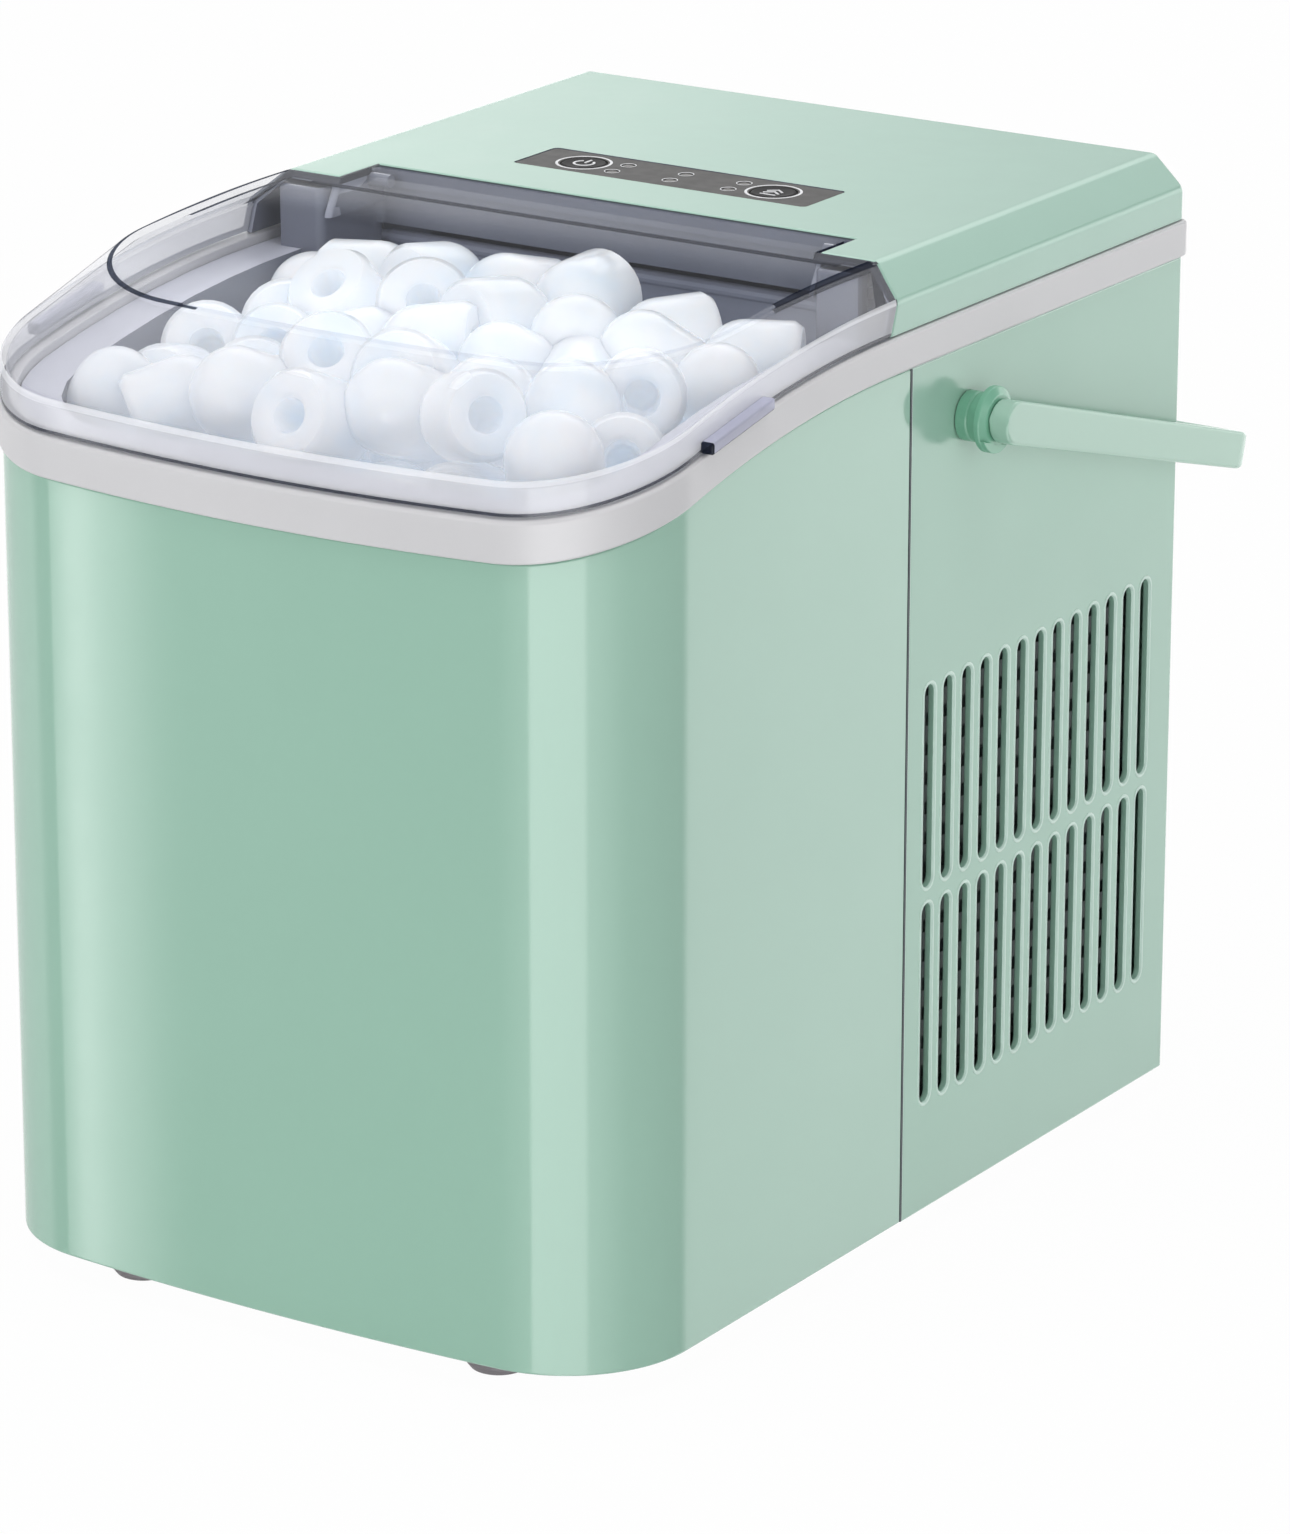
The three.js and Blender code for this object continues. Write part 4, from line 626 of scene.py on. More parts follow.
def circuit(name):
    """A green board with a finer pattern of copper under its mask."""
    finish = Finish(name)
    colours = {"Color1": srgb(38, 96, 62), "Color2": srgb(48, 118, 74), "Mortar": srgb(86, 150, 92)}
    size = {"Vector": finish.place, "Scale": 260, "Mortar Size": 0.03}
    finish.set(Base_Color=finish.add("TexBrick", {**size, **colours}))
    finish.gloss(0.3, 0.45)
    return finish.material


def foam_block(name):
    finish = Finish(name)
    finish.tint(srgb(238, 236, 222), 0.05, 40)
    finish.set(Roughness=0.9)
    finish.bump(500, 0.0003, 0.9, 4)
    return finish.material


def clear(name, tint, haze, haze_colour, roughness=0.03, mirror_share=0.15, specular=0.5):
    """Thin clear plastic: what is behind it, a haze of its own and the room mirrored on it."""
    finish = Finish(name)
    finish.tint(srgb(*haze_colour), 0.03, 20)
    finish.gloss(0.18, 0.25)
    finish.set(Specular_IOR_Level=specular)
    tint = (*tint, 1)
    facing = finish.add("LayerWeight").outputs["Facing"]
    outline = [(0, tint), (0.86, tint), (0.97, tone(tint, 0.4)), (1, tone(tint, 0.3))]
    through = finish.add("BsdfTransparent", {"Color": finish.ramp(facing, outline)})
    body = finish.add("MixShader", {"Fac": haze, 1: through, 2: finish.shader})
    shine = {"Roughness": roughness, "Color": (0.96, 0.97, 1, 1)}
    mirror = finish.add("BsdfGlossy", shine)
    grazing = finish.add("Math", {0: facing, 1: 5}, operation="POWER")
    span = {"Value": grazing, "To Min": 0.008, "To Max": mirror_share}
    share = finish.add("MapRange", span)
    finish.surface(finish.add("MixShader", {"Fac": share, 1: body, 2: mirror}))
    return finish.material


def ice_finish(name):
    """Cloudy ice: white and soft inside, wet and smooth outside, faintly blue where it is thin,
    with a faint painted glow.
    """
    finish = Finish(name)
    stops = [(0.3, srgb(228, 237, 247)), (0.5, srgb(241, 244, 248)), (0.75, srgb(247, 249, 250))]
    finish.set(Base_Color=finish.ramp(finish.noise(45, 3), stops))
    finish.gloss(0.16, 0.25, 70)
    finish.bump(90, 0.0004, 0.3, 3)
    finish.set(Subsurface_Weight=1.0, Subsurface_Scale=0.01, Subsurface_Radius=(0.9, 1.0, 1.1))
    # A faint emission: painted glow that brightens the ice beyond what the lamps give it.
    finish.set(Emission_Strength=0.12, Emission_Color=srgb(236, 244, 255))
    return finish.material


mint = lacquered("mint_lacquer", (155, 193, 175), 0.08)
side_mint = lacquered("side_mint", (155, 193, 175), 0.2)
# A paler mint for the side slots' edges and lips: painted highlight.
highlight_mint = moulded("highlight_mint", (196, 222, 210), 0.24)
boss_mint = moulded("boss_mint", (122, 180, 153), 0.22)
mint_part = moulded("mint_moulding", (166, 202, 184), 0.2)
cover_mint = moulded("cover_mint", (163, 199, 183), 0.24)
band_grey = moulded("band_grey", (207, 206, 208), 0.34)
# The liner's pale ledges and darker walls are painted light and shade, not two colours of plastic.
liner_painted_light = painted_light_by_facing("liner_painted_light", (208, 209, 220), (126, 130, 143))
hood_grey = moulded("hood_grey", (116, 120, 134), 0.16)
# The splash flap is a paler copy of the hood's grey: painted light on a part that lies in shade.
flap_lit_grey = moulded("flap_lit_grey", (148, 152, 168), 0.16)
panel_grey = matt("panel_grey", (72, 71, 70), 0.45, 0.12)
black = moulded("black_moulding", (46, 46, 49), 0.34)
key_black = matt("key_black", (38, 37, 38), 0.4, 0.03)
mark_white = matt("mark_white", (236, 236, 238), 0.5)
lamp_grey = matt("lamp_grey", (106, 104, 102), 0.34)
white = moulded("white_moulding", (228, 231, 234), 0.32)
foot_grey = rubber("foot_rubber", (128, 124, 127))
dark_rubber = rubber("dark_rubber", (52, 53, 56))
zinc = metal("zinc_sheet", (188, 190, 192), 0.38)
screw_metal = metal("screw_metal", (196, 198, 202), 0.2)
# The condenser's fins are darker than bare aluminium: painted shade for the dark inside of the case
# seen through the slots.
fin_metal_darkened = metal("fin_metal_darkened", (96, 102, 102), 0.4, (1, 1, 0.1))
plated = metal("plated_metal", (206, 208, 212), 0.2)
copper_metal = metal("copper_tube", (196, 128, 88), 0.21)
iron = cast_iron("black_iron", (40, 41, 44))
board_green = circuit("circuit_board")
foam = foam_block("foam")
lid_clear = clear("lid_clear", (0.975, 0.978, 0.985), 0.015, (225, 228, 238))
lid_slope = clear("lid_slope", (0.98, 0.98, 0.985), 0.12, (236, 237, 243))
lid_rim = clear("lid_rim", (0.985, 0.985, 0.99), 0.42, (236, 236, 241), 0.06)
# Dark, grey and pale copies of the clear plastic for the lid's edges and crease: painted shade and
# painted highlight.
lid_edge_shade = clear("lid_edge_shade", (0.4, 0.42, 0.48), 0.6, (70, 73, 84), 0.04)
lid_crease_shade = clear("lid_crease_shade", (0.9, 0.91, 0.94), 0.12, (170, 174, 186), 0.04)
lid_highlight = clear("lid_highlight", (0.98, 0.98, 1), 0.6, (247, 248, 252), 0.04)
lid_shade_line = clear("lid_shade_line", (0.24, 0.27, 0.34), 0.65, (30, 35, 50), 0.03, 0.02, 0)
lid_tab = clear("lid_tab", (0.85, 0.86, 0.92), 0.6, (206, 207, 230), 0.04)
# A paler copy of the hood's grey inside the ears: painted light where they lie in shade.
ear_lit_grey = moulded("ear_lit_grey", (164, 167, 180), 0.2)
# A dark line of painted shade along the side seams and the notch's edges.
seam_shade = moulded("seam_shade", (66, 74, 78), 0.34)
ice_white = ice_finish("cloudy_ice")

cad_finishes = {
    white: "ice_basket water_tray tray_bearing water_tube drain_tube",
    black: "ice_sensor_left ice_sensor_right water_pump fan_frame fan_rotor",
    liner_painted_light: "inner_liner",
    hood_grey: "lid_hinge_pin_left lid_hinge_pin_right",
    flap_lit_grey: "splash_flap",
    zinc: "base_pan tray_motor",
    iron: "compressor filter_drier",
    fin_metal_darkened: "condenser",
    plated: "evaporator",
    copper_metal: "discharge_tube liquid_tube capillary_tube suction_tube",
    board_green: "control_board power_board",
    dark_rubber: "compressor_grommet_1 compressor_grommet_2 compressor_grommet_3",
    foam: "insulation_foam",
}
for finish_material, names in cad_finishes.items():
    for node_name in names.split():
        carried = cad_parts[node_name].data.materials
        carried.clear()
        carried.append(finish_material)


# ---------------------------------------------------------------- case

SEAM_TRIM = 0.25
SLOT_PITCH = 10.37
SLOT_SETBACK = 12.5
SLOTS = 13
SLOT_WIDTH = 4
SIDE_SLOT_WIDTH = 5.4
SLOT_LENGTH = 60.9
SLOT_ROWS = (41.7, 107.8)
# The lip's section: how far out from the slot's edge, and how proud of the panel
LIP_PROFILE = [(0.2, -0.4), (1.35, -0.4), (1.35, 0.02), (1.22, 0.13), (0.95, 0.22), (0.65, 0.22),
               (0.38, 0.13), (0.2, -0.05)]
PIVOT_Y = 31
PIVOT_HOLE = 4.5
pivot_z = band_bottom - 20.6


def make_front_shell():
    edge = 0.35
    near = [edge * (1 - math.cos(math.radians(a))) for a in (0, 22, 45, 67, 90)]
    start = shell_high.y - edge
    far = [start + (tangent_y - start) * i / 24 for i in range(1, 24)]
    depths = [shell_high.y - SEAM_TRIM - d for d in near] + far
    shrinks = [edge - math.sqrt(edge**2 - max(edge - d, 0) ** 2) for d in near] + [0] * len(far)
    middle = front_stations(36, 24)
    stations = [
        *[straight((-half_width, y), (-1, 0)) for y in depths],
        *middle,
        *[straight((half_width, y), (1, 0)) for y in reversed(depths)],
    ]
    low = level(case_bottom)
    high = swept(band_bottom - FIT, BAND_BOTTOM_SWEEP)
    corners = [(0.8, 3), (0.8, 3), (0.4, 3), (0.4, 3)]
    sections = [
        rounded_section(-shrink, shrink - CASE_WALL, low, high, corners)
        for shrink in [*shrinks, *[0] * len(middle), *reversed(shrinks)]
    ]
    piece("front_wrap", sweep(stations, sections), mint, "front_shell")


def slot_lip(across, low):
    """The soft raised lip round a slot, in the side panel's own flat coordinates."""
    radius = SIDE_SLOT_WIDTH / 2
    ends = ((low + SLOT_LENGTH - radius, 0, 180), (low + radius, 180, 360))
    stations = [s for v, start, end in ends for s in arc_stations(across, v, radius, start, end, 8)]
    section = [(out, level(0), rise) for out, rise in LIP_PROFILE]
    return sweep(stations, [section] * len(stations), closed=True)


def make_side_panel(side, node):
    bend = rear_y - REAR_CORNER
    quarter = REAR_CORNER * math.pi / 2
    end = bend + quarter + REAR_RETURN - REAR_CORNER
    start = panel_front + SEAM_TRIM
    first = panel_front - FIT / 2 + SLOT_SETBACK
    slots = [(first + i * SLOT_PITCH, row) for row in SLOT_ROWS for i in range(SLOTS)]
    holes = [circle_outline(PIVOT_Y, pivot_z, PIVOT_HOLE)]
    holes += [slot_outline(y, row, row + SLOT_LENGTH, SIDE_SLOT_WIDTH) for y, row in slots]

    def place(u, v, w):
        if u <= bend:
            return side * (half_width + w), u, v
        if u <= bend + quarter:
            angle = (u - bend) / REAR_CORNER
            radius = REAR_CORNER + w
            x = half_width - REAR_CORNER + radius * math.cos(angle)
            return side * x, bend + radius * math.sin(angle), v
        return side * (half_width - REAR_CORNER - (u - bend - quarter)), rear_y + w, v

    flat = plate(box_outline(start, end, case_bottom, side_top), holes, CASE_WALL, 0.55, 3)
    skin = moved(sliced(flat, [bend + quarter * i / 8 for i in range(9)]), place)
    finishes = [side_mint, highlight_mint, seam_shade]
    slot_highlight, shade_line = 1, 2
    mesh = piece(f"{node}_skin", skin, finishes, node).data
    for face in mesh.polygons:
        y = from_frame(face.center).y
        deepest = min(side * mesh.vertices[i].co.x / MM - half_width for i in face.vertices)
        # The strip along the panel's front edge is dark: painted shade in the seam.
        if y < start + 0.3:
            face.material_index = shade_line
        # The outer rows of each slot's rounded edge take the pale mint as a painted highlight.
        elif y < bend - 1 and deepest > -0.4 and abs(face.normal.x) < 0.99:
            face.material_index = slot_highlight
    # The lips are drawn in the pale mint of the painted highlight.
    lips = moved(gathered(*[slot_lip(*slot) for slot in slots]), place)
    piece(f"{node}_lips", lips, highlight_mint, sharp=60)


GRILLE_X = -34
GRILLE_PITCH = 11
GRILLE_SLOTS = 9
GRILLE_ROW = (92, 162)
INLET = (42, 33)
INLET_CUTOUT = (14.3, 10.8)
INLET_FLANGE = (18, 12.5)
INLET_BODY = (14, 10.5)
INLET_DEPTH = 18
SOCKET = (12, 8.5)
SOCKET_CORNER = 4.5
SOCKET_DEPTH = 15
CONTACTS = ((-7, -1), (0, 2.4), (7, -1))
DRAIN = (-88, 46)
DRAIN_HOLE = 4.3
SCREW_HOLE = 1.9
SCREW_HEAD = 2
SCREW_CROSS = (0.35, 2.2)
screw_spots = [(side * 90, z) for side in (-1, 1) for z in (70, 250)]


def make_rear_panel():
    low, high = limits("rear_panel")
    holes = [
        box_outline(*spread(INLET, INLET_CUTOUT)),
        circle_outline(*DRAIN, DRAIN_HOLE),
        *[circle_outline(*spot, SCREW_HOLE, 16) for spot in screw_spots],
    ]
    for i in range(GRILLE_SLOTS):
        across = GRILLE_X + (i - (GRILLE_SLOTS - 1) / 2) * GRILLE_PITCH
        holes.append(slot_outline(across, *GRILLE_ROW, SLOT_WIDTH))
    flat = plate(box_outline(low.x, high.x, low.z, high.z), holes, CASE_WALL, 0.6, 3)
    skin = moved(flat, lambda u, v, w: (u, rear_y + w, v))
    piece("rear_skin", skin, mint, "rear_panel")


def make_rear_screws():
    seat = limits("rear_screw_1")[1].y - SCREW_HEAD
    profile = [(0, -7), (1.6, -7), (1.6, 0), (3.6, 0), (3.6, 0.9), (2.6, 1.8), (0, SCREW_HEAD)]
    arms = (SCREW_CROSS, SCREW_CROSS[::-1])
    for i, (x, z) in enumerate(screw_spots):
        name = f"rear_screw_{i + 1}"
        cross = [block(-a, a, -b, b, seat + 0.8, seat + 3) for a, b in arms]
        head = placed(cut(turned(profile, 0.35, seat, 32), *cross), (x, 0, z), (0, 1, 0))
        piece(f"{name}_head", head, screw_metal, name)


def make_trim_band():
    lip = -BAND_INSET - BAND_LIP
    step = LEDGE_DROP + LINER_WALL + FIT
    corners = [(1.1, 4), (1.1, 4), (0.5, 3)]
    section = rounded_section(BAND_PROUD, -BAND_INSET, band_low, band_high, corners)
    section += [(-BAND_INSET, band_high, -step), (lip, band_high, -step), (lip, band_low, 0)]
    stations = case_loop()
    mesh = sweep(stations, [section] * len(stations), closed=True)
    piece("band_ring", mesh, band_grey, "trim_band")


FOOT_RADIUS = 9.5
FOOT_STUD = 3


def make_feet():
    top = case_bottom - FIT
    for name in ("foot_front_left", "foot_front_right", "foot_rear_left", "foot_rear_right"):
        low, high = limits(name)
        profile = [(0, 0.9), (5.2, 0.9), (5.6, 0), (8, 0), (FOOT_RADIUS, 2), (FOOT_RADIUS, 4.6),
                   (9.1, 5), (FOOT_RADIUS, 5.4), (FOOT_RADIUS, top), (FOOT_STUD, top),
                   (FOOT_STUD, high.z), (0, high.z)]
        pad = placed(turned(profile, 0.4), ((low.x + high.x) / 2, (low.y + high.y) / 2, 0))
        piece(f"{name}_pad", pad, foot_grey, name)


# ---------------------------------------------------------------- top cover and panel

crease_x = half_width - 10
crease_z = height - 9.4
ear_x = half_width - 29
EAR_TOP_Y = -3
EAR_CREASE_Y = -8
EAR_BOTTOM_Y = -11.4
NOTCH_Y = 16.3
NOTCH_LIP = 6
EAR_WALL = 2
COVER_SKIN = 2.4
PANEL_Y = 51.25
WELL = (54.5, 15.25)
PIN_HOLE = 2.3
PIN_INSET = 25
panel_low, panel_high = limits("control_panel")


def cover_block():
    """The cover's outside as a plain solid, with its ears and notch."""
    corners = [
        (ear_x, EAR_TOP_Y, height),
        (crease_x, EAR_TOP_Y, height),
        (half_width, EAR_CREASE_Y, crease_z),
        (half_width, EAR_BOTTOM_Y, cover_bottom),
        (ear_x, EAR_BOTTOM_Y, cover_bottom),
        (ear_x, EAR_CREASE_Y, crease_z),
        (ear_x, NOTCH_Y, height),
        (ear_x, NOTCH_Y, cover_bottom),
        (crease_x, rear_y, height),
        (half_width, rear_y, crease_z),
        (half_width, rear_y, cover_bottom),
    ]
    n = len(corners)
    points = corners + [(-x, y, z) for x, y, z in corners]
    mirrored = [[0, 1, 2, 5], [5, 2, 3, 4], [1, 2, 9, 8], [2, 3, 10, 9], [0, 5, 4, 7, 6]]
    faces = mirrored + [[i + n for i in face] for face in mirrored]
    faces += [
        [0, 1, 8, 8 + n, 1 + n, n, 6 + n, 6],
        [6, 7, 7 + n, 6 + n],
        [8, 9, 10, 10 + n, 9 + n, 8 + n],
        [3, 10, 10 + n, 3 + n, 4 + n, 7 + n, 7, 4],
    ]
    return mesh_from(points, faces)


def rod(radius, start, end, steps=40, side=1):
    """A round bar along X through the lid's hinge, measured from the middle to one side."""
    bar = prism(circle_outline(0, 0, radius, steps), start, end)
    return placed(bar, (0, hinge_y, hinge_z), (side, 0, 0))


def make_top_cover():
    def not_rear_upright(edge):
        a, b = (v.co for v in edge.verts)
        upright = abs(a.x - b.x) < 0.01 and abs(a.z - b.z) > 5
        return not (upright and min(a.y, b.y) > rear_y - 0.1)

    def at_bottom(edge):
        return all(v.co.z < cover_bottom + 0.01 for v in edge.verts)

    body = bevelled(cover_block(), REAR_CORNER, 8, 20, not_rear_upright)
    body = bevelled(body, 1.3, 4, 15, at_bottom)
    lean = COVER_SKIN * math.tan(math.pi / 8)
    x, z = half_width - COVER_SKIN, height - COVER_SKIN
    section = [(-x, cover_bottom - 5), (x, cover_bottom - 5), (x, crease_z - lean),
               (crease_x - lean, z), (-crease_x + lean, z), (-x, crease_z - lean)]
    before, above = -60, height + 5
    floor = panel_low.z - FIT
    wall_y = NOTCH_Y + EAR_WALL
    ears = [(-ear_x - EAR_WALL, -ear_x), (ear_x, ear_x + EAR_WALL)]
    hollow = cut(
        prism_y(section, before, rear_y - COVER_SKIN),
        *[block(*ear, before - 10, wall_y, crease_z - 2, above) for ear in ears],
        block(-ear_x - 1, ear_x + 1, NOTCH_Y, wall_y, height - NOTCH_LIP, above),
        block(*spread((0, PANEL_Y), WELL), floor - 2, above),
    )
    x1 = panel_high.x + FIT
    edge = round_outline(-x1, x1, panel_low.y - FIT, panel_high.y + FIT, 1.8)
    pins = rod(PIN_HOLE, PIN_INSET - half_width, half_width - PIN_INSET)
    reach = block(-ear_x - 3, ear_x + 3, 0, NOTCH_Y + 1, cover_bottom, above)
    pins = combined(pins, "INTERSECT", reach)
    body = cut(body, hollow, prism(edge, floor, above), pins)
    finishes = [cover_mint, hood_grey, ear_lit_grey, seam_shade]
    paint_cover(piece("cover_shell", body, finishes, "top_cover", sharp=30).data)


def paint_cover(mesh):
    """Gives the walls of the notch the smoked finish of the hood, the inside of the ears a paler
    copy of it as painted light, and the notch's edges a dark line of painted shade.
    """
    wall, ear, shade_line = 1, 2, 3
    width, drop = half_width - crease_x, height - crease_z
    for face in mesh.polygons:
        x, y, z = from_frame(face.center)
        x = abs(x)
        shoulder = ((crease_x - x) * drop + (height - z) * width) / math.hypot(width, drop)
        depth = min(height - z, half_width - x, rear_y - y, shoulder)
        if depth > 1:
            face.material_index = ear if x > ear_x - 0.5 and y < 8 else wall
        # The notch's rounded edges are dark: painted shade in the gap beside the lid.
        elif y < NOTCH_Y + 1.3 and depth > 0.25 and z > cover_bottom + 0.5:
            face.material_index = shade_line


BUTTON_X = 33
BUTTON_RADIUS = 6.8
BUTTON_RING = (7.7, 8.5)
LAMP_X = 20.2
LAMP_ROW = 4.35
LAMP_RADIUS = 1.9
LAMP_RING = (2.15, 2.43)
LAMP_BAR = 1.4
INK_WIDTH = 0.7
INK_DEPTH = 0.4
RING_DEPTH = 0.1
RING_THICKNESS = 0.14
lamp_spots = [
    (pair * LAMP_X, PANEL_Y + row * LAMP_ROW) for pair in (-1, 0, 1) for row in (1, -1)
]


def ring(x, y, inner, outer, steps=40):
    """A flat ring printed on the panel."""
    low = level(panel_high.z - RING_DEPTH)
    places = box_outline(0, outer - inner, 0, RING_THICKNESS)
    section = [(offset, low, rise) for offset, rise in places]
    return sweep(arc_stations(x, y, inner, 0, 360, steps)[:-1], [section] * steps, closed=True)


def make_control_panel():
    x1, y0, y1 = panel_high.x, panel_low.y, panel_high.y
    top = panel_high.z
    buttons = [(side * BUTTON_X, PANEL_Y) for side in (-1, 1)]
    holes = [circle_outline(x, y, BUTTON_RADIUS + FIT) for x, y in buttons]
    holes += [circle_outline(x, y, LAMP_RADIUS + FIT, 24) for x, y in lamp_spots]
    flat = plate(round_outline(-x1, x1, y0, y1, 1.5), holes, top - panel_low.z, 0.25)
    body = moved(flat, lambda u, v, w: (u, v, top + w))
    piece("panel_face", body, panel_grey, "control_panel")
    rings = [ring(x, y, *BUTTON_RING) for x, y in buttons]
    rings += [ring(x, y, *LAMP_RING, 28) for x, y in lamp_spots]
    piece("panel_rings", gathered(*rings), mark_white)


def stroke(points, low, high):
    """A printed line through points in X and Y."""
    spots = [Vector(point) for point in points]
    left, right = [], []
    for i, spot in enumerate(spots):
        along = (spots[min(i + 1, len(spots) - 1)] - spots[max(i - 1, 0)]).normalized()
        across = Vector((-along.y, along.x)) * INK_WIDTH / 2
        left.append(tuple(spot + across))
        right.append(tuple(spot - across))
    return prism([*left, *reversed(right)], low, high)


def make_buttons():
    top = limits("power_button")[1].z
    profile = [(0, -6.2), (2.6, -6.2), (2.6, -1.2), (BUTTON_RADIUS, -1.2),
               (BUTTON_RADIUS, -0.25), (6.2, 0), (4.6, -0.12), (0, -0.3)]
    x, y = -BUTTON_X, PANEL_Y
    power = [[(x + px, y + py) for px, py in arc(0, 0, 3, 125, 415, 24)],
             [(x, y + 0.6), (x, y + 4.1)]]
    x = BUTTON_X
    select = [[(x - 2.6, y + s), (x, y + s + 2.2), (x + 2.6, y + s)] for s in (0.6, -1.6)]
    select.append([(x - 2.6, y - 3.2), (x + 2.6, y - 3.2)])
    for name, x, lines in (("power_button", -BUTTON_X, power), ("select_button", BUTTON_X, select)):
        cap = placed(turned(profile, 0.15, top, 56), (x, PANEL_Y, 0))
        piece(f"{name}_cap", cap, key_black, name, name)
        mark = gathered(*[stroke(line, top - INK_DEPTH, top - 0.02) for line in lines])
        piece(f"{name}_mark", mark, mark_white, body=name)


def make_lamps():
    low, high = limits("indicator_light_guide")
    foot = low.z + LAMP_BAR / 2
    profile = [(0, foot), (LAMP_RADIUS, foot), (LAMP_RADIUS, high.z - 0.3), (1.2, high.z - 0.05),
               (0, high.z)]
    bar = bevelled(block(low.x, high.x, low.y, high.y, low.z, low.z + LAMP_BAR), 0.3, 2)
    lenses = [placed(turned(profile, 0.3, 0, 24), (x, y, 0)) for x, y in lamp_spots]
    whole = gathered(bar, *lenses)
    piece("lamp_lenses", whole, lamp_grey, "indicator_light_guide")


# ---------------------------------------------------------------- lid

LID_GAP = 0.9
LID_PROUD = 0.5
LID_RIM = 8.8
LID_WALL = 2
LID_SEAL = 0.9
LID_CREASE_INSET = 10
LID_CREASE_SETBACK = 35
LID_CREASE_RADIUS = 45
LID_FLAT_INSET = 9
KNUCKLE = 3.5
RUNNING_GAP = 0.6
BEYOND = 140
tongue = ear_x - RUNNING_GAP
hinge_y = NOTCH_Y - RUNNING_GAP - KNUCKLE
hinge_z = height - KNUCKLE
lid_high = swept(height, LID_TOP_SWEEP)


def lid_plan(half_x, front, corner_radius):
    """Right side, front and left side of the lid, the same count of points whatever its size."""
    rear = NOTCH_Y + 10
    cx, cy, bow_y, half = bowed_front(half_x, front, corner_radius, FRONT_BOW)
    side = [(half_x, rear + (cy - rear) * i / 26) for i in range(26)]
    bend = arc(cx, cy, corner_radius, 360, 270 + half, 22)
    right = [*side, *bend, *arc(0, bow_y, FRONT_BOW, 270 + half, 270, 10)[1:]]
    return [*right, *[(-x, y) for x, y in reversed(right[:-1])]]


def lid_body(inset):
    """The lid as a closed body; inset gives the space inside its walls."""
    grow = LID_PROUD - inset
    low = lid_plan(half_width + grow, front_y - grow, FRONT_CORNER + grow)
    half_x = half_width - LID_CREASE_INSET - inset * 0.5
    front = front_y + LID_CREASE_SETBACK + inset * 0.8
    high = lid_plan(half_x, front, LID_CREASE_RADIUS)
    step = LID_FLAT_INSET
    flat = lid_plan(half_x - step, front + step, LID_CREASE_RADIUS - step)
    sink, seal_height = (6, 0.5) if inset else (0, LID_SEAL)
    points = []
    for (lx, ly), (hx, hy), (fx, fy) in zip(low, high, flat):
        base = band_high(ly) + LID_GAP
        foot = Vector((lx, ly, base - sink))
        seal = foot + Vector((0, 0, seal_height))
        rim = Vector((lx, ly, base + LID_RIM - inset * 0.4))
        crease = Vector((hx, hy, lid_high(hy) - inset))
        inner = Vector((fx, fy, lid_high(fy) - inset))
        soft = 0.9 + 0.9 * min(max((hy + 75) / 30, 0), 1)
        bends = [*eased(seal, rim, crease, 1.4), *eased(rim, crease, inner, soft, 6)]
        station = [foot, seal, *bends, inner]
        points += station
    depth = len(station)
    count = len(points) // depth
    faces = []
    for i in range(count - 1):
        for j in range(depth - 1):
            a = i * depth + j
            faces.append((a, a + 1, a + depth + 1, a + depth))
    for j in (0, depth - 1):
        for i in range((count - 1) // 2):
            corners = [k * depth + j for k in (i, i + 1, count - 2 - i, count - 1 - i)]
            faces.append(tuple(dict.fromkeys(corners)))
    last = (count - 1) * depth
    faces += [(j, last + j, last + j + 1, j + 1) for j in range(depth - 1)]
    return mesh_from(points, faces)


def ear_cutter(side):
    """What lies behind the lid's slanted ends, beside the tongue."""
    below, above = cover_bottom - 8, height + 5
    slant = [(EAR_TOP_Y, above), (EAR_TOP_Y, height), (EAR_CREASE_Y, crease_z),
             (EAR_BOTTOM_Y, cover_bottom), (EAR_BOTTOM_Y, below)]
    outline = [*[(y - RUNNING_GAP, z) for y, z in slant], (60, below), (60, above)]
    return prism_x(outline, *((tongue, BEYOND) if side > 0 else (-BEYOND, -tongue)))


def make_lid():
    behind = block(-BEYOND, BEYOND, hinge_y - 0.4, 60, 200, 320)
    body = cut(lid_body(0), lid_body(LID_WALL), ear_cutter(1), ear_cutter(-1), behind)
    body = combined(body, "UNION", rod(KNUCKLE, 0.05 - tongue, tongue - 0.05, 48))
    body = cut(body, *[rod(PIN_HOLE, tongue - 6.8, tongue + 1.2, 32, side) for side in (-1, 1)])
    finishes = [lid_clear, lid_rim, lid_edge_shade, lid_crease_shade, lid_highlight, lid_shade_line, lid_slope]
    shell = piece("lid_shell", welded(body, 0.02), finishes, "lid", "lid", 40)
    paint_lid(shell.data)


# Right of this X and in front of this Y, the lid's crease takes a paler grey of painted shade
# instead of the dark line
PALE_CREASE = (-50, -55)


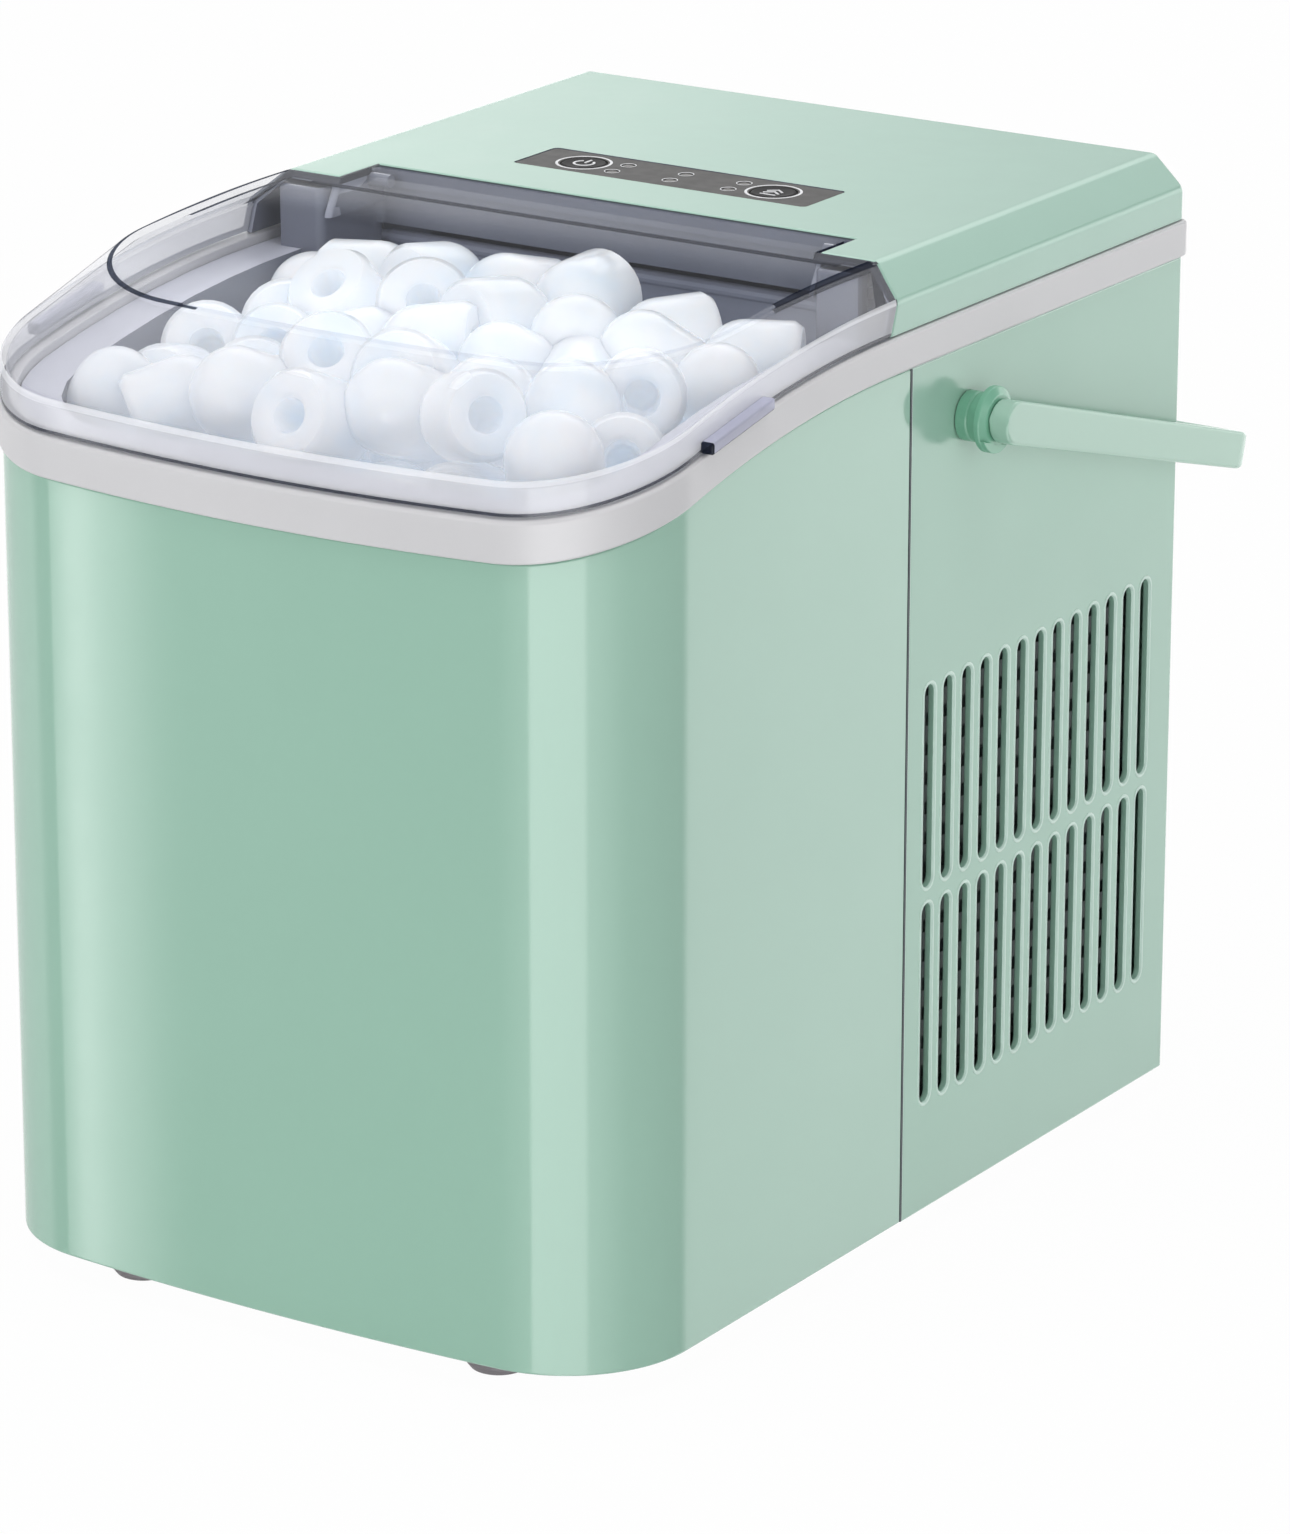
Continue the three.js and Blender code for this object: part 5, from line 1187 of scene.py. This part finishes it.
def paint_lid(mesh):
    """Frosts the lid's upright rim, paints shade on its cut ends and its foot, and along its crease
    paints a dark line of shade, greyer over the ice, with a painted highlight at the rim.
    """
    rim, edge, crease, shine, line, slope = range(1, 7)
    pale_x, pale_y = PALE_CREASE
    for face in mesh.polygons:
        x, y, z = from_frame(face.center)
        before_tongue = y < hinge_y - KNUCKLE - 1
        behind = y > EAR_BOTTOM_Y - RUNNING_GAP - 0.3 and abs(x) > tongue - 0.2
        above_base = z - band_high(y) - LID_GAP
        ends = [[mesh.vertices[i].co for i in pair] for pair in face.edge_keys]
        spans = [(a - b).length / MM for a, b in ends]
        # Cut ends and the foot under the rim take painted shade.
        if (behind and abs(face.normal.y) > 0.5) or (above_base < LID_SEAL and y < NOTCH_Y):
            face.material_index = edge
        elif above_base < LID_RIM - 0.9 and y < NOTCH_Y:
            face.material_index = rim
        # Along the crease: a painted highlight at the rim, painted shade greyer over the ice and
        # dark elsewhere.
        elif min(spans) < 0.7 and max(spans) > 1.5 and before_tongue:
            at_rim = above_base < LID_RIM + 2
            over_ice = y < pale_y and x > pale_x
            if face.normal.z > 0 or (y > pale_y and not at_rim):
                face.material_index = shine if at_rim else crease if over_ice else line
        elif abs(face.normal.z) < 0.9 and before_tongue:
            face.material_index = slope


TAB_FRONT = front_y + 46.7
TAB_LENGTH = 31
TAB_HEIGHT = 3.3
TAB_PROUD = 4.2


def make_lid_tab(side, name):
    rear = TAB_FRONT + TAB_LENGTH
    z0, z1 = (band_high(y) + LID_GAP for y in (TAB_FRONT, rear))
    outline = [(TAB_FRONT, z0), (rear, z1), (rear, z1 + TAB_HEIGHT), (TAB_FRONT, z0 + TAB_HEIGHT)]
    inner = half_width + LID_PROUD
    body = bevelled(prism_x(outline, inner + 0.02, inner + TAB_PROUD), 0.7, 4)
    if side < 0:
        body = moved(body, lambda x, y, z: (-x, y, z))
    tab = piece(name, body, [lid_tab, lid_shade_line], body="lid")
    line = 1
    # The tab's underside and front end are dark: painted shade.
    for face in tab.data.polygons:
        if face.normal.z < -0.35 or from_frame(face.center).y < TAB_FRONT + 0.8:
            face.material_index = line


# ---------------------------------------------------------------- carry handle

handle_outer = limits("carry_handle")[1].x
HANDLE_BAR = 6.2
HANDLE_SWING_GAP = 8.4
HANDLE_ROOT = 12.6
HANDLE_TIP = 11
HANDLE_CORNER = 12
HANDLE_TIP_TRIM = 0.1
FOLD = Matrix.Rotation(-math.radians(16.35), 4, "X")
handle_reach = math.hypot(rear_y - PIVOT_Y, height - pivot_z) + HANDLE_SWING_GAP + HANDLE_BAR
handle_length = handle_reach - HANDLE_TIP_TRIM
BOSS_RADIUS = 7.3
BOSS_LENGTH = 7.3
NECK_DEPTH = 11.4
GROOVE_RADIUS = 7.0
GROOVE = (3.6, 3.9, 4.3, 4.6)
STEM_RADIUS = 3.4
STEM_LENGTH = 4.6
FLANGE_RADIUS = 9.6
FLANGE_THICKNESS = 1.8
CAP_RISE = 1.3
LUG_CHORD = 6.6


def make_pivot(side, name):
    """A pivot's boss with its grooved neck, flange and stem, and the lug that stops the handle."""
    boss = FIT + BOSS_LENGTH
    flange = boss + FLANGE_THICKNESS
    outer = flange + CAP_RISE
    stem = outer + FIT + STEM_LENGTH
    neck = PIVOT_HOLE - FIT
    groove = zip((BOSS_RADIUS, GROOVE_RADIUS, GROOVE_RADIUS, BOSS_RADIUS), GROOVE)
    profile = [(0, -NECK_DEPTH), (neck, -NECK_DEPTH), (neck, FIT), (BOSS_RADIUS, FIT), *groove,
               (BOSS_RADIUS, boss), (FLANGE_RADIUS, boss), (FLANGE_RADIUS, flange),
               (BOSS_RADIUS, outer), (STEM_RADIUS, outer), (STEM_RADIUS, stem), (0, stem)]
    start = math.degrees(math.asin(LUG_CHORD / FLANGE_RADIUS))
    segment = arc(0, 0, FLANGE_RADIUS - 0.02, 180 + start, 360 - start, 20)
    lug = bevelled(prism(segment, flange - 0.1, outer), 0.25, 2)
    lug.transform(Matrix.Rotation(side * math.pi / 2, 4, "Z"))
    lug = placed(lug, (0, 0, 0), (side, 0, 0))
    lug.transform(FOLD)
    whole = gathered(placed(turned(profile, 0.35, 0, 72), (0, 0, 0), (side, 0, 0)), lug)
    whole.transform(Matrix.Translation((side * half_width, PIVOT_Y, pivot_z)))
    piece(f"{name}_boss", whole, boss_mint, name, sharp=30)


def make_handle():
    """A flat bar bent into a U: a section swept from one root to the other."""
    root = HANDLE_ROOT / 2
    thick = HANDLE_BAR / 2
    middle = handle_outer - thick
    bend_x, bend_y = handle_outer - HANDLE_CORNER, handle_length - HANDLE_CORNER
    bend_radius = HANDLE_CORNER - thick
    arm = [-root * math.cos(math.radians(a)) for a in (4, 12, 22, 34, 46, 58, 72, 90)]
    arm += [bend_y * i / 16 for i in range(1, 16)]
    cross_y = handle_length - thick
    stations = [
        *[straight((middle, y), (1, 0)) for y in arm],
        *arc_stations(bend_x, bend_y, bend_radius, 0, 90, 12),
        *line_stations((bend_x, cross_y), (-bend_x, cross_y), (0, 1), 12),
        *arc_stations(-bend_x, bend_y, bend_radius, 90, 180, 12),
        *[straight((-middle, y), (-1, 0)) for y in reversed(arm)],
    ]
    sections = []
    for station in stations:
        y = station(0)[1]
        if y < 0:
            half = math.sqrt(max(root**2 - y**2, 0.02))
        else:
            half = root + (HANDLE_TIP / 2 - root) * y / handle_length
        bent = min(max(y - bend_y, 0) / bend_radius, 1)
        corners = [(min(1.0 + 1.5 * bent, half * 0.7), 5)] * 2 + [(min(0.9, half * 0.5), 3)] * 2
        sections.append(rounded_section(thick, -thick, level(-half), level(half), corners))
    body = sweep(stations, sections)
    body.transform(FOLD)
    body.transform(Matrix.Translation((0, PIVOT_Y, pivot_z)))
    piece("handle_bar", body, mint_part, "carry_handle", "carry_handle", 30)


# ---------------------------------------------------------------- hood, inlet and plug


HOOD_WALL = 2
HOOD_BEND = 3


def make_hood():
    """The smoked wall behind the ice, with a return round each ear of the cover."""
    low, high = limits("inner_hood")
    x = ear_x + EAR_WALL + FIT
    wall_y = NOTCH_Y + EAR_WALL + FIT
    r = HOOD_BEND
    stations = [
        straight((-high.x, low.y), (0, 1)),
        *arc_stations(-x - r, low.y + r, r, -90, 0, 6, -1),
        *arc_stations(r - x, wall_y - r, r, 180, 90, 6),
        *arc_stations(x - r, wall_y - r, r, 90, 0, 6),
        *arc_stations(x + r, low.y + r, r, 180, 270, 6, -1),
        straight((high.x, low.y), (0, 1)),
    ]
    corners = [(0.5, 3), (0.5, 3), (1.2, 5), (0.6, 3)]
    section = rounded_section(HOOD_WALL, 0, level(low.z), level(high.z), corners)
    body = sweep(stations, [section] * len(stations))
    gap = block(FIT - x, x - FIT, wall_y - 3, wall_y + 6, low.z - 5, band_top + 0.9)
    piece("hood_wall", cut(body, gap), hood_grey, "inner_hood", sharp=35)


def make_power_inlet():
    seat = rear_y + FIT
    x0, x1, z0, z1 = spread(INLET, SOCKET)
    corner = SOCKET_CORNER
    shape = [(x0, z0), (x1, z0), (x1, z1 - corner), (x1 - corner, z1), (x0 + corner, z1),
             (x0, z1 - corner)]
    edge = round_outline(*spread(INLET, INLET_FLANGE), 3)
    flange = moved(plate(edge, [shape], 2, 0.5, 3), lambda u, v, w: (u, seat + 2 + w, v))
    x0, x1, z0, z1 = spread(INLET, INLET_BODY)
    walls = cut(block(x0, x1, seat - INLET_DEPTH, seat + 0.2, z0, z1),
                prism_y(shape, seat - SOCKET_DEPTH, seat + 5))
    spots = [(INLET[0] + across, INLET[1] + rise) for across, rise in CONTACTS]
    pins = [block(x - 1, x + 1, seat - 16, seat - 3, z - 2.5, z + 2.5) for x, z in spots]
    pins = gathered(*[bevelled(pin, 0.4, 2) for pin in pins])
    shell = gathered(flange, walls)
    piece("inlet_shell", shell, black, "power_inlet")
    piece("inlet_pins", pins, screw_metal)


def make_drain_plug():
    low, high = limits("drain_plug")
    top, stem = high.y, high.y - low.y
    profile = [(0, -stem), (1.8, -stem), (2.3, 1 - stem), (2.3, -4.2), (7, -4), (7, -1), (6, 0),
               (0, 0)]
    dimple = [(0, top - 0.8), (4, top - 0.8), (4.6, top + 1), (0, top + 1)]
    body = cut(turned(profile, 0.5, top, 40, 4), lathe(dimple, 40))
    x, z = DRAIN
    cap = placed(body, (x, 0, z), (0, 1, 0))
    piece("drain_plug_cap", cap, dark_rubber, "drain_plug", "drain_plug")


# ---------------------------------------------------------------- ice

ICE_RADIUS = 13.2
ICE_LENGTH = 29
ICE_BORE = 4.6
ICE_BORE_DEPTH = 16
ICE_CLOSENESS = 0.86
ICE_PITCH = (25, 24, 22)
ICE_SCATTER = (4, 4, 5)
ICE_FIRST_ROW = -118
ICE_ROW_SHIFT = 12
ICE_LAYERS, ICE_ROWS, ICE_COLUMNS = 3, 5, 7
HEAP_LEVEL = 262
HEAP_PEAK = (-18, -38)
HEAP_PEAK_RISE = 7
BIN_X = 78
BIN_Y = (-127, -16)
# Spans of X, Y and Z for the way a bore faces: towards the viewer, or any way but up
BORES_SEEN = ((-0.3, 0.9), (-1, -0.4), (0.1, 0.8))
BORES_HIDDEN = ((-1, 1), (-1, 1), (-1, 0.3))


def bullet(radius, length, bore, depth):
    """A bullet of ice: a dome above, a straight side and a bore from below."""
    dome = radius * 0.95
    angles = [math.radians(a) for a in range(0, 90, 10)]
    outside = [(radius * math.cos(a), length - dome + dome * math.sin(a)) for a in angles]
    inside = [(0, depth + bore * 0.6), (bore * 0.6, depth + bore * 0.45), (bore, depth)]
    mouth = [(bore * 1.12, 1.4), (bore * 1.5, 0.2), (radius * 0.86, 0.2), (radius * 0.99, 2.6)]
    return lathe([*inside, *mouth, *outside, (0, length)], 28)


def settle(spheres, passes=60):
    """Pushes overlapping spheres apart inside the bin, a little on each pass."""
    for _ in range(passes):
        for i, a in enumerate(spheres):
            for b in spheres[i + 1:]:
                gap = b - a
                short = 2 * ICE_RADIUS * ICE_CLOSENESS - gap.length
                if short > 0 and gap.length > 0.01:
                    push = gap.normalized() * short * 0.5
                    a -= push
                    b += push
            a.x = max(min(a.x, BIN_X), -BIN_X)
            a.y = max(min(a.y, BIN_Y[1]), BIN_Y[0])
            a.z = min(a.z, lid_high(a.y) - 4 - ICE_RADIUS * 1.05)


def heap_height(x, y):
    """How high the middle of the top pieces lies."""
    away = (x - HEAP_PEAK[0]) ** 2 + (y - HEAP_PEAK[1]) ** 2
    peak = HEAP_PEAK_RISE * math.exp(-away / 1800)
    return HEAP_LEVEL - 0.0011 * x * x + 0.07 * (y + 75) + (4 if x > 0 else 0) + peak


def make_ice():
    draw = random.Random(11).uniform
    spheres = []
    across, back, down = ICE_PITCH
    dx, dy, dz = ICE_SCATTER
    for layer in range(ICE_LAYERS):
        for row in range(ICE_ROWS):
            for column in range(ICE_COLUMNS):
                shift = (row % 2 - 0.5) * ICE_ROW_SHIFT
                x = (column - 3) * across + shift + draw(-dx, dx)
                y = ICE_FIRST_ROW + row * back + draw(-dy, dy)
                spheres.append(Vector((x, y, heap_height(x, y) - layer * down + draw(-dz, dz))))
    settle(spheres)
    bodies = []
    for spot in spheres:
        size = draw(0.94, 1.06)
        body = bullet(ICE_RADIUS * size, ICE_LENGTH * size, ICE_BORE, ICE_BORE_DEPTH)
        body.transform(Matrix.Translation((0, 0, -ICE_LENGTH / 2 * size)))
        ways = BORES_SEEN if draw(0, 1) < 0.45 else BORES_HIDDEN
        turn = Vector((0, 0, -1)).rotation_difference(Vector([draw(*span) for span in ways]))
        body.transform(Matrix.Translation(spot) @ turn.to_matrix().to_4x4())
        bodies.append(body)
    piece("ice_heap", gathered(*bodies), ice_white, sharp=40)


# ---------------------------------------------------------------- studio

# What gloss mirrors: azimuth in degrees from the front towards the right, and brightness there
LOW_STRIPS = [
    (-180, 0.30), (-120, 0.18), (-98, 0.2), (-84, 0.24), (-70, 0.28), (-62, 0.1), (-50, 0.07),
    (-47.3, 0.3), (-47.0, 1.25), (-45.85, 1.25), (-45.5, 0.7), (-43.8, 0.5), (-42.6, 0.26),
    (-41.6, 0.06), (-38.8, 0.08), (-30, 0.03), (-22, 0.05), (-6, 0.2), (3.5, 0.3), (5, 0.96),
    (47.5, 0.96), (51, 0.5), (68, 0.34), (82, 0.2), (138, 0.12), (144, 0.34), (148.6, 0.54),
    (152, 0.4),
]
MID_STRIPS = [
    (-180, 0.2), (-151, 0.12), (-147.5, 0.22), (-143.5, 0.36), (-120, 0.2), (-60, 0.1), (30, 0.14),
    (90, 0.3), (140, 0.6), (155, 0.6), (170, 0.3),
]
HIGH_STRIPS = [
    (-180, 0.4), (-150, 0.5), (-120, 0.3), (-60, 0.1), (0, 0.1), (90, 0.15), (150, 0.15),
    (166, 0.16), (172, 0.5),
]
# How much of each set of strips shows at a height: sine of the elevation, then low, mid and high
RINGS = [
    (-0.42, (0.7, 0, 0)), (-0.22, (1, 0, 0)), (-0.04, (0.9, 0, 0)), (0.04, (0, 1, 0)),
    (0.25, (0, 1, 0)), (0.30, (0, 0.1, 0)), (0.40, (0, 0, 0.15)), (0.46, (0, 0, 1)),
    (0.75, (0, 0, 1)), (0.95, (0, 0, 0.4)),
]
STRIP_POWER = 6
SOFT_POWER = 0.46
FLOOR_REACH = 9
BRIGHTEST = 1.25
# Name, place, height of what it faces and length of its sides in metres, and watts
SOFTBOXES = [
    ("front_softbox", (-0.9, -2.8, 0.9), 0.15, 1.8, 26),
    ("side_softbox", (2.63, -1.23, 0.9), 0.15, 1.6, 15),
    ("top_softbox", (0.2, -0.5, 3.0), 0.2, 1.8, 31),
    ("rear_softbox", (-1.0, 2.6, 1.2), 0.15, 1.8, 12),
]


def studio_world():
    """Plain light all round, white behind the object, and strips that only gloss mirrors."""
    world = bpy.data.worlds.new("studio")
    bpy.context.scene.world = world
    world.use_nodes = True
    graph = Graph(world.node_tree)
    graph.tree.nodes.clear()
    direction = graph.add("TexCoord").outputs["Generated"]
    split = graph.add("SeparateXYZ", {0: direction}).outputs
    front = graph.add("Math", {0: split["Y"], 1: -1}, operation="MULTIPLY")
    azimuth = graph.add("Math", {0: split["X"], 1: front}, operation="ARCTAN2")
    turn = {"Value": azimuth, "From Min": -math.pi, "From Max": math.pi}
    around = graph.add("MapRange", turn)
    rise = graph.add("MapRange", {"Value": split["Z"], "From Min": -1})
    rings = graph.ramp(rise, [((z + 1) / 2, (*shares, 1)) for z, shares in RINGS])
    shares = graph.add("SeparateColor", {0: rings}).outputs
    total = 0
    for strips, band in ((LOW_STRIPS, "Red"), (MID_STRIPS, "Green"), (HIGH_STRIPS, "Blue")):
        levels = [((angle + 180) / 360, shine / BRIGHTEST) for angle, shine in strips]
        strip = graph.ramp(around, [(spot, (shine, shine, shine, 1)) for spot, shine in levels])
        parts = {0: strip, 1: shares[band], 2: total}
        total = graph.add("Math", parts, operation="MULTIPLY_ADD")
    mirrored = graph.add("Background", {"Color": total, "Strength": STRIP_POWER * BRIGHTEST})
    soft = graph.add("Background", {"Color": (0.97, 0.985, 1, 1), "Strength": SOFT_POWER})
    paper = graph.add("Background", {"Color": (1, 1, 1, 1)})
    rays = graph.add("LightPath").outputs
    lit = graph.add("MixShader", {"Fac": rays["Is Glossy Ray"], 1: soft, 2: mirrored})
    straight_on = {0: rays["Is Camera Ray"], 1: rays["Is Transmission Ray"]}
    seen = graph.add("Math", straight_on, operation="MAXIMUM")
    whole = graph.add("MixShader", {"Fac": seen, 1: lit, 2: paper})
    graph.add("OutputWorld", {"Surface": whole})


def make_floor():
    """Pale paper that the camera sees as white, with the object's shadow kept on it."""
    finish = Finish("floor_paper")
    finish.tint((0.86, 0.86, 0.86, 1), 0.01, 3)
    finish.set(Roughness=0.8)
    camera_ray = finish.add("LightPath").outputs["Is Camera Ray"]
    share = finish.add("Math", {0: camera_ray, 1: 0.97}, operation="MULTIPLY")
    glow = finish.add("Emission")
    finish.surface(finish.add("MixShader", {"Fac": share, 1: finish.shader, 2: glow}))
    mesh = bpy.data.meshes.new("floor")
    square = box_outline(*spread((0, 0), (FLOOR_REACH, FLOOR_REACH)))
    mesh.from_pydata([(x, y, 0) for x, y in square], [], [(0, 1, 2, 3)])
    mesh.materials.append(finish.material)
    floor = added("floor", mesh)
    floor.visible_glossy = False


def softbox(name, place, aim_height, size, power):
    """A square lamp that lights the object without being seen or mirrored."""
    data = bpy.data.lights.new(name, "AREA")
    data.shape = "RECTANGLE"
    data.size = data.size_y = size
    data.energy = power
    lamp = added(name, data)
    lamp.location = place
    way = Vector((0, 0, aim_height)) - Vector(place)
    lamp.rotation_euler = way.to_track_quat("-Z", "Y").to_euler()
    lamp.visible_glossy = False
    lamp.visible_camera = False


# The photograph's view: turn from the front, rise and roll in degrees, then the distance from a
# point on the middle line, the camera's shift to the right and up, and its lens
VIEW_ANGLES = (33.34, 18.289, 0.05)
VIEW_DISTANCE = 2014.17
VIEW_SHIFT = (18.69, -21.48)
AIM_HEIGHT = 150
LENS = 161.6433
SENSOR_HEIGHT = 36


def make_camera():
    """The photograph's view, from the right of the front and a little above."""
    azimuth, elevation, roll = (math.radians(angle) for angle in VIEW_ANGLES)
    flat_way = Vector((math.sin(azimuth), -math.cos(azimuth), 0)) * math.cos(elevation)
    look = -(flat_way + Vector((0, 0, math.sin(elevation))))
    right = Vector((math.cos(azimuth), math.sin(azimuth), 0))
    up = right.cross(look)
    across, rise = VIEW_SHIFT
    spot = Vector((0, 0, AIM_HEIGHT)) - look * VIEW_DISTANCE + right * across + up * rise
    data = bpy.data.cameras.new("camera")
    data.sensor_fit = "VERTICAL"
    data.sensor_height = SENSOR_HEIGHT
    data.lens = LENS
    data.clip_start = 0.05
    camera = added("camera", data)
    turn = Matrix((right, up, -look)).transposed().to_4x4() @ Matrix.Rotation(roll, 4, "Z")
    camera.matrix_world = Matrix.Translation(to_frame(spot)) @ turn
    bpy.context.scene.camera = camera


make_camera()
studio_world()
make_floor()
for box in SOFTBOXES:
    softbox(*box)

make_front_shell()
make_side_panel(1, "right_side_panel")
make_side_panel(-1, "left_side_panel")
make_rear_panel()
make_rear_screws()
make_trim_band()
make_feet()
make_top_cover()
make_control_panel()
make_buttons()
make_lamps()
make_lid()
make_lid_tab(1, "lid_tab_right")
make_lid_tab(-1, "lid_tab_left")
make_pivot(1, "handle_pivot_right")
make_pivot(-1, "handle_pivot_left")
make_handle()
make_hood()
make_power_inlet()
make_drain_plug()
make_ice()

bpy.context.scene.view_settings.view_transform = "Standard"
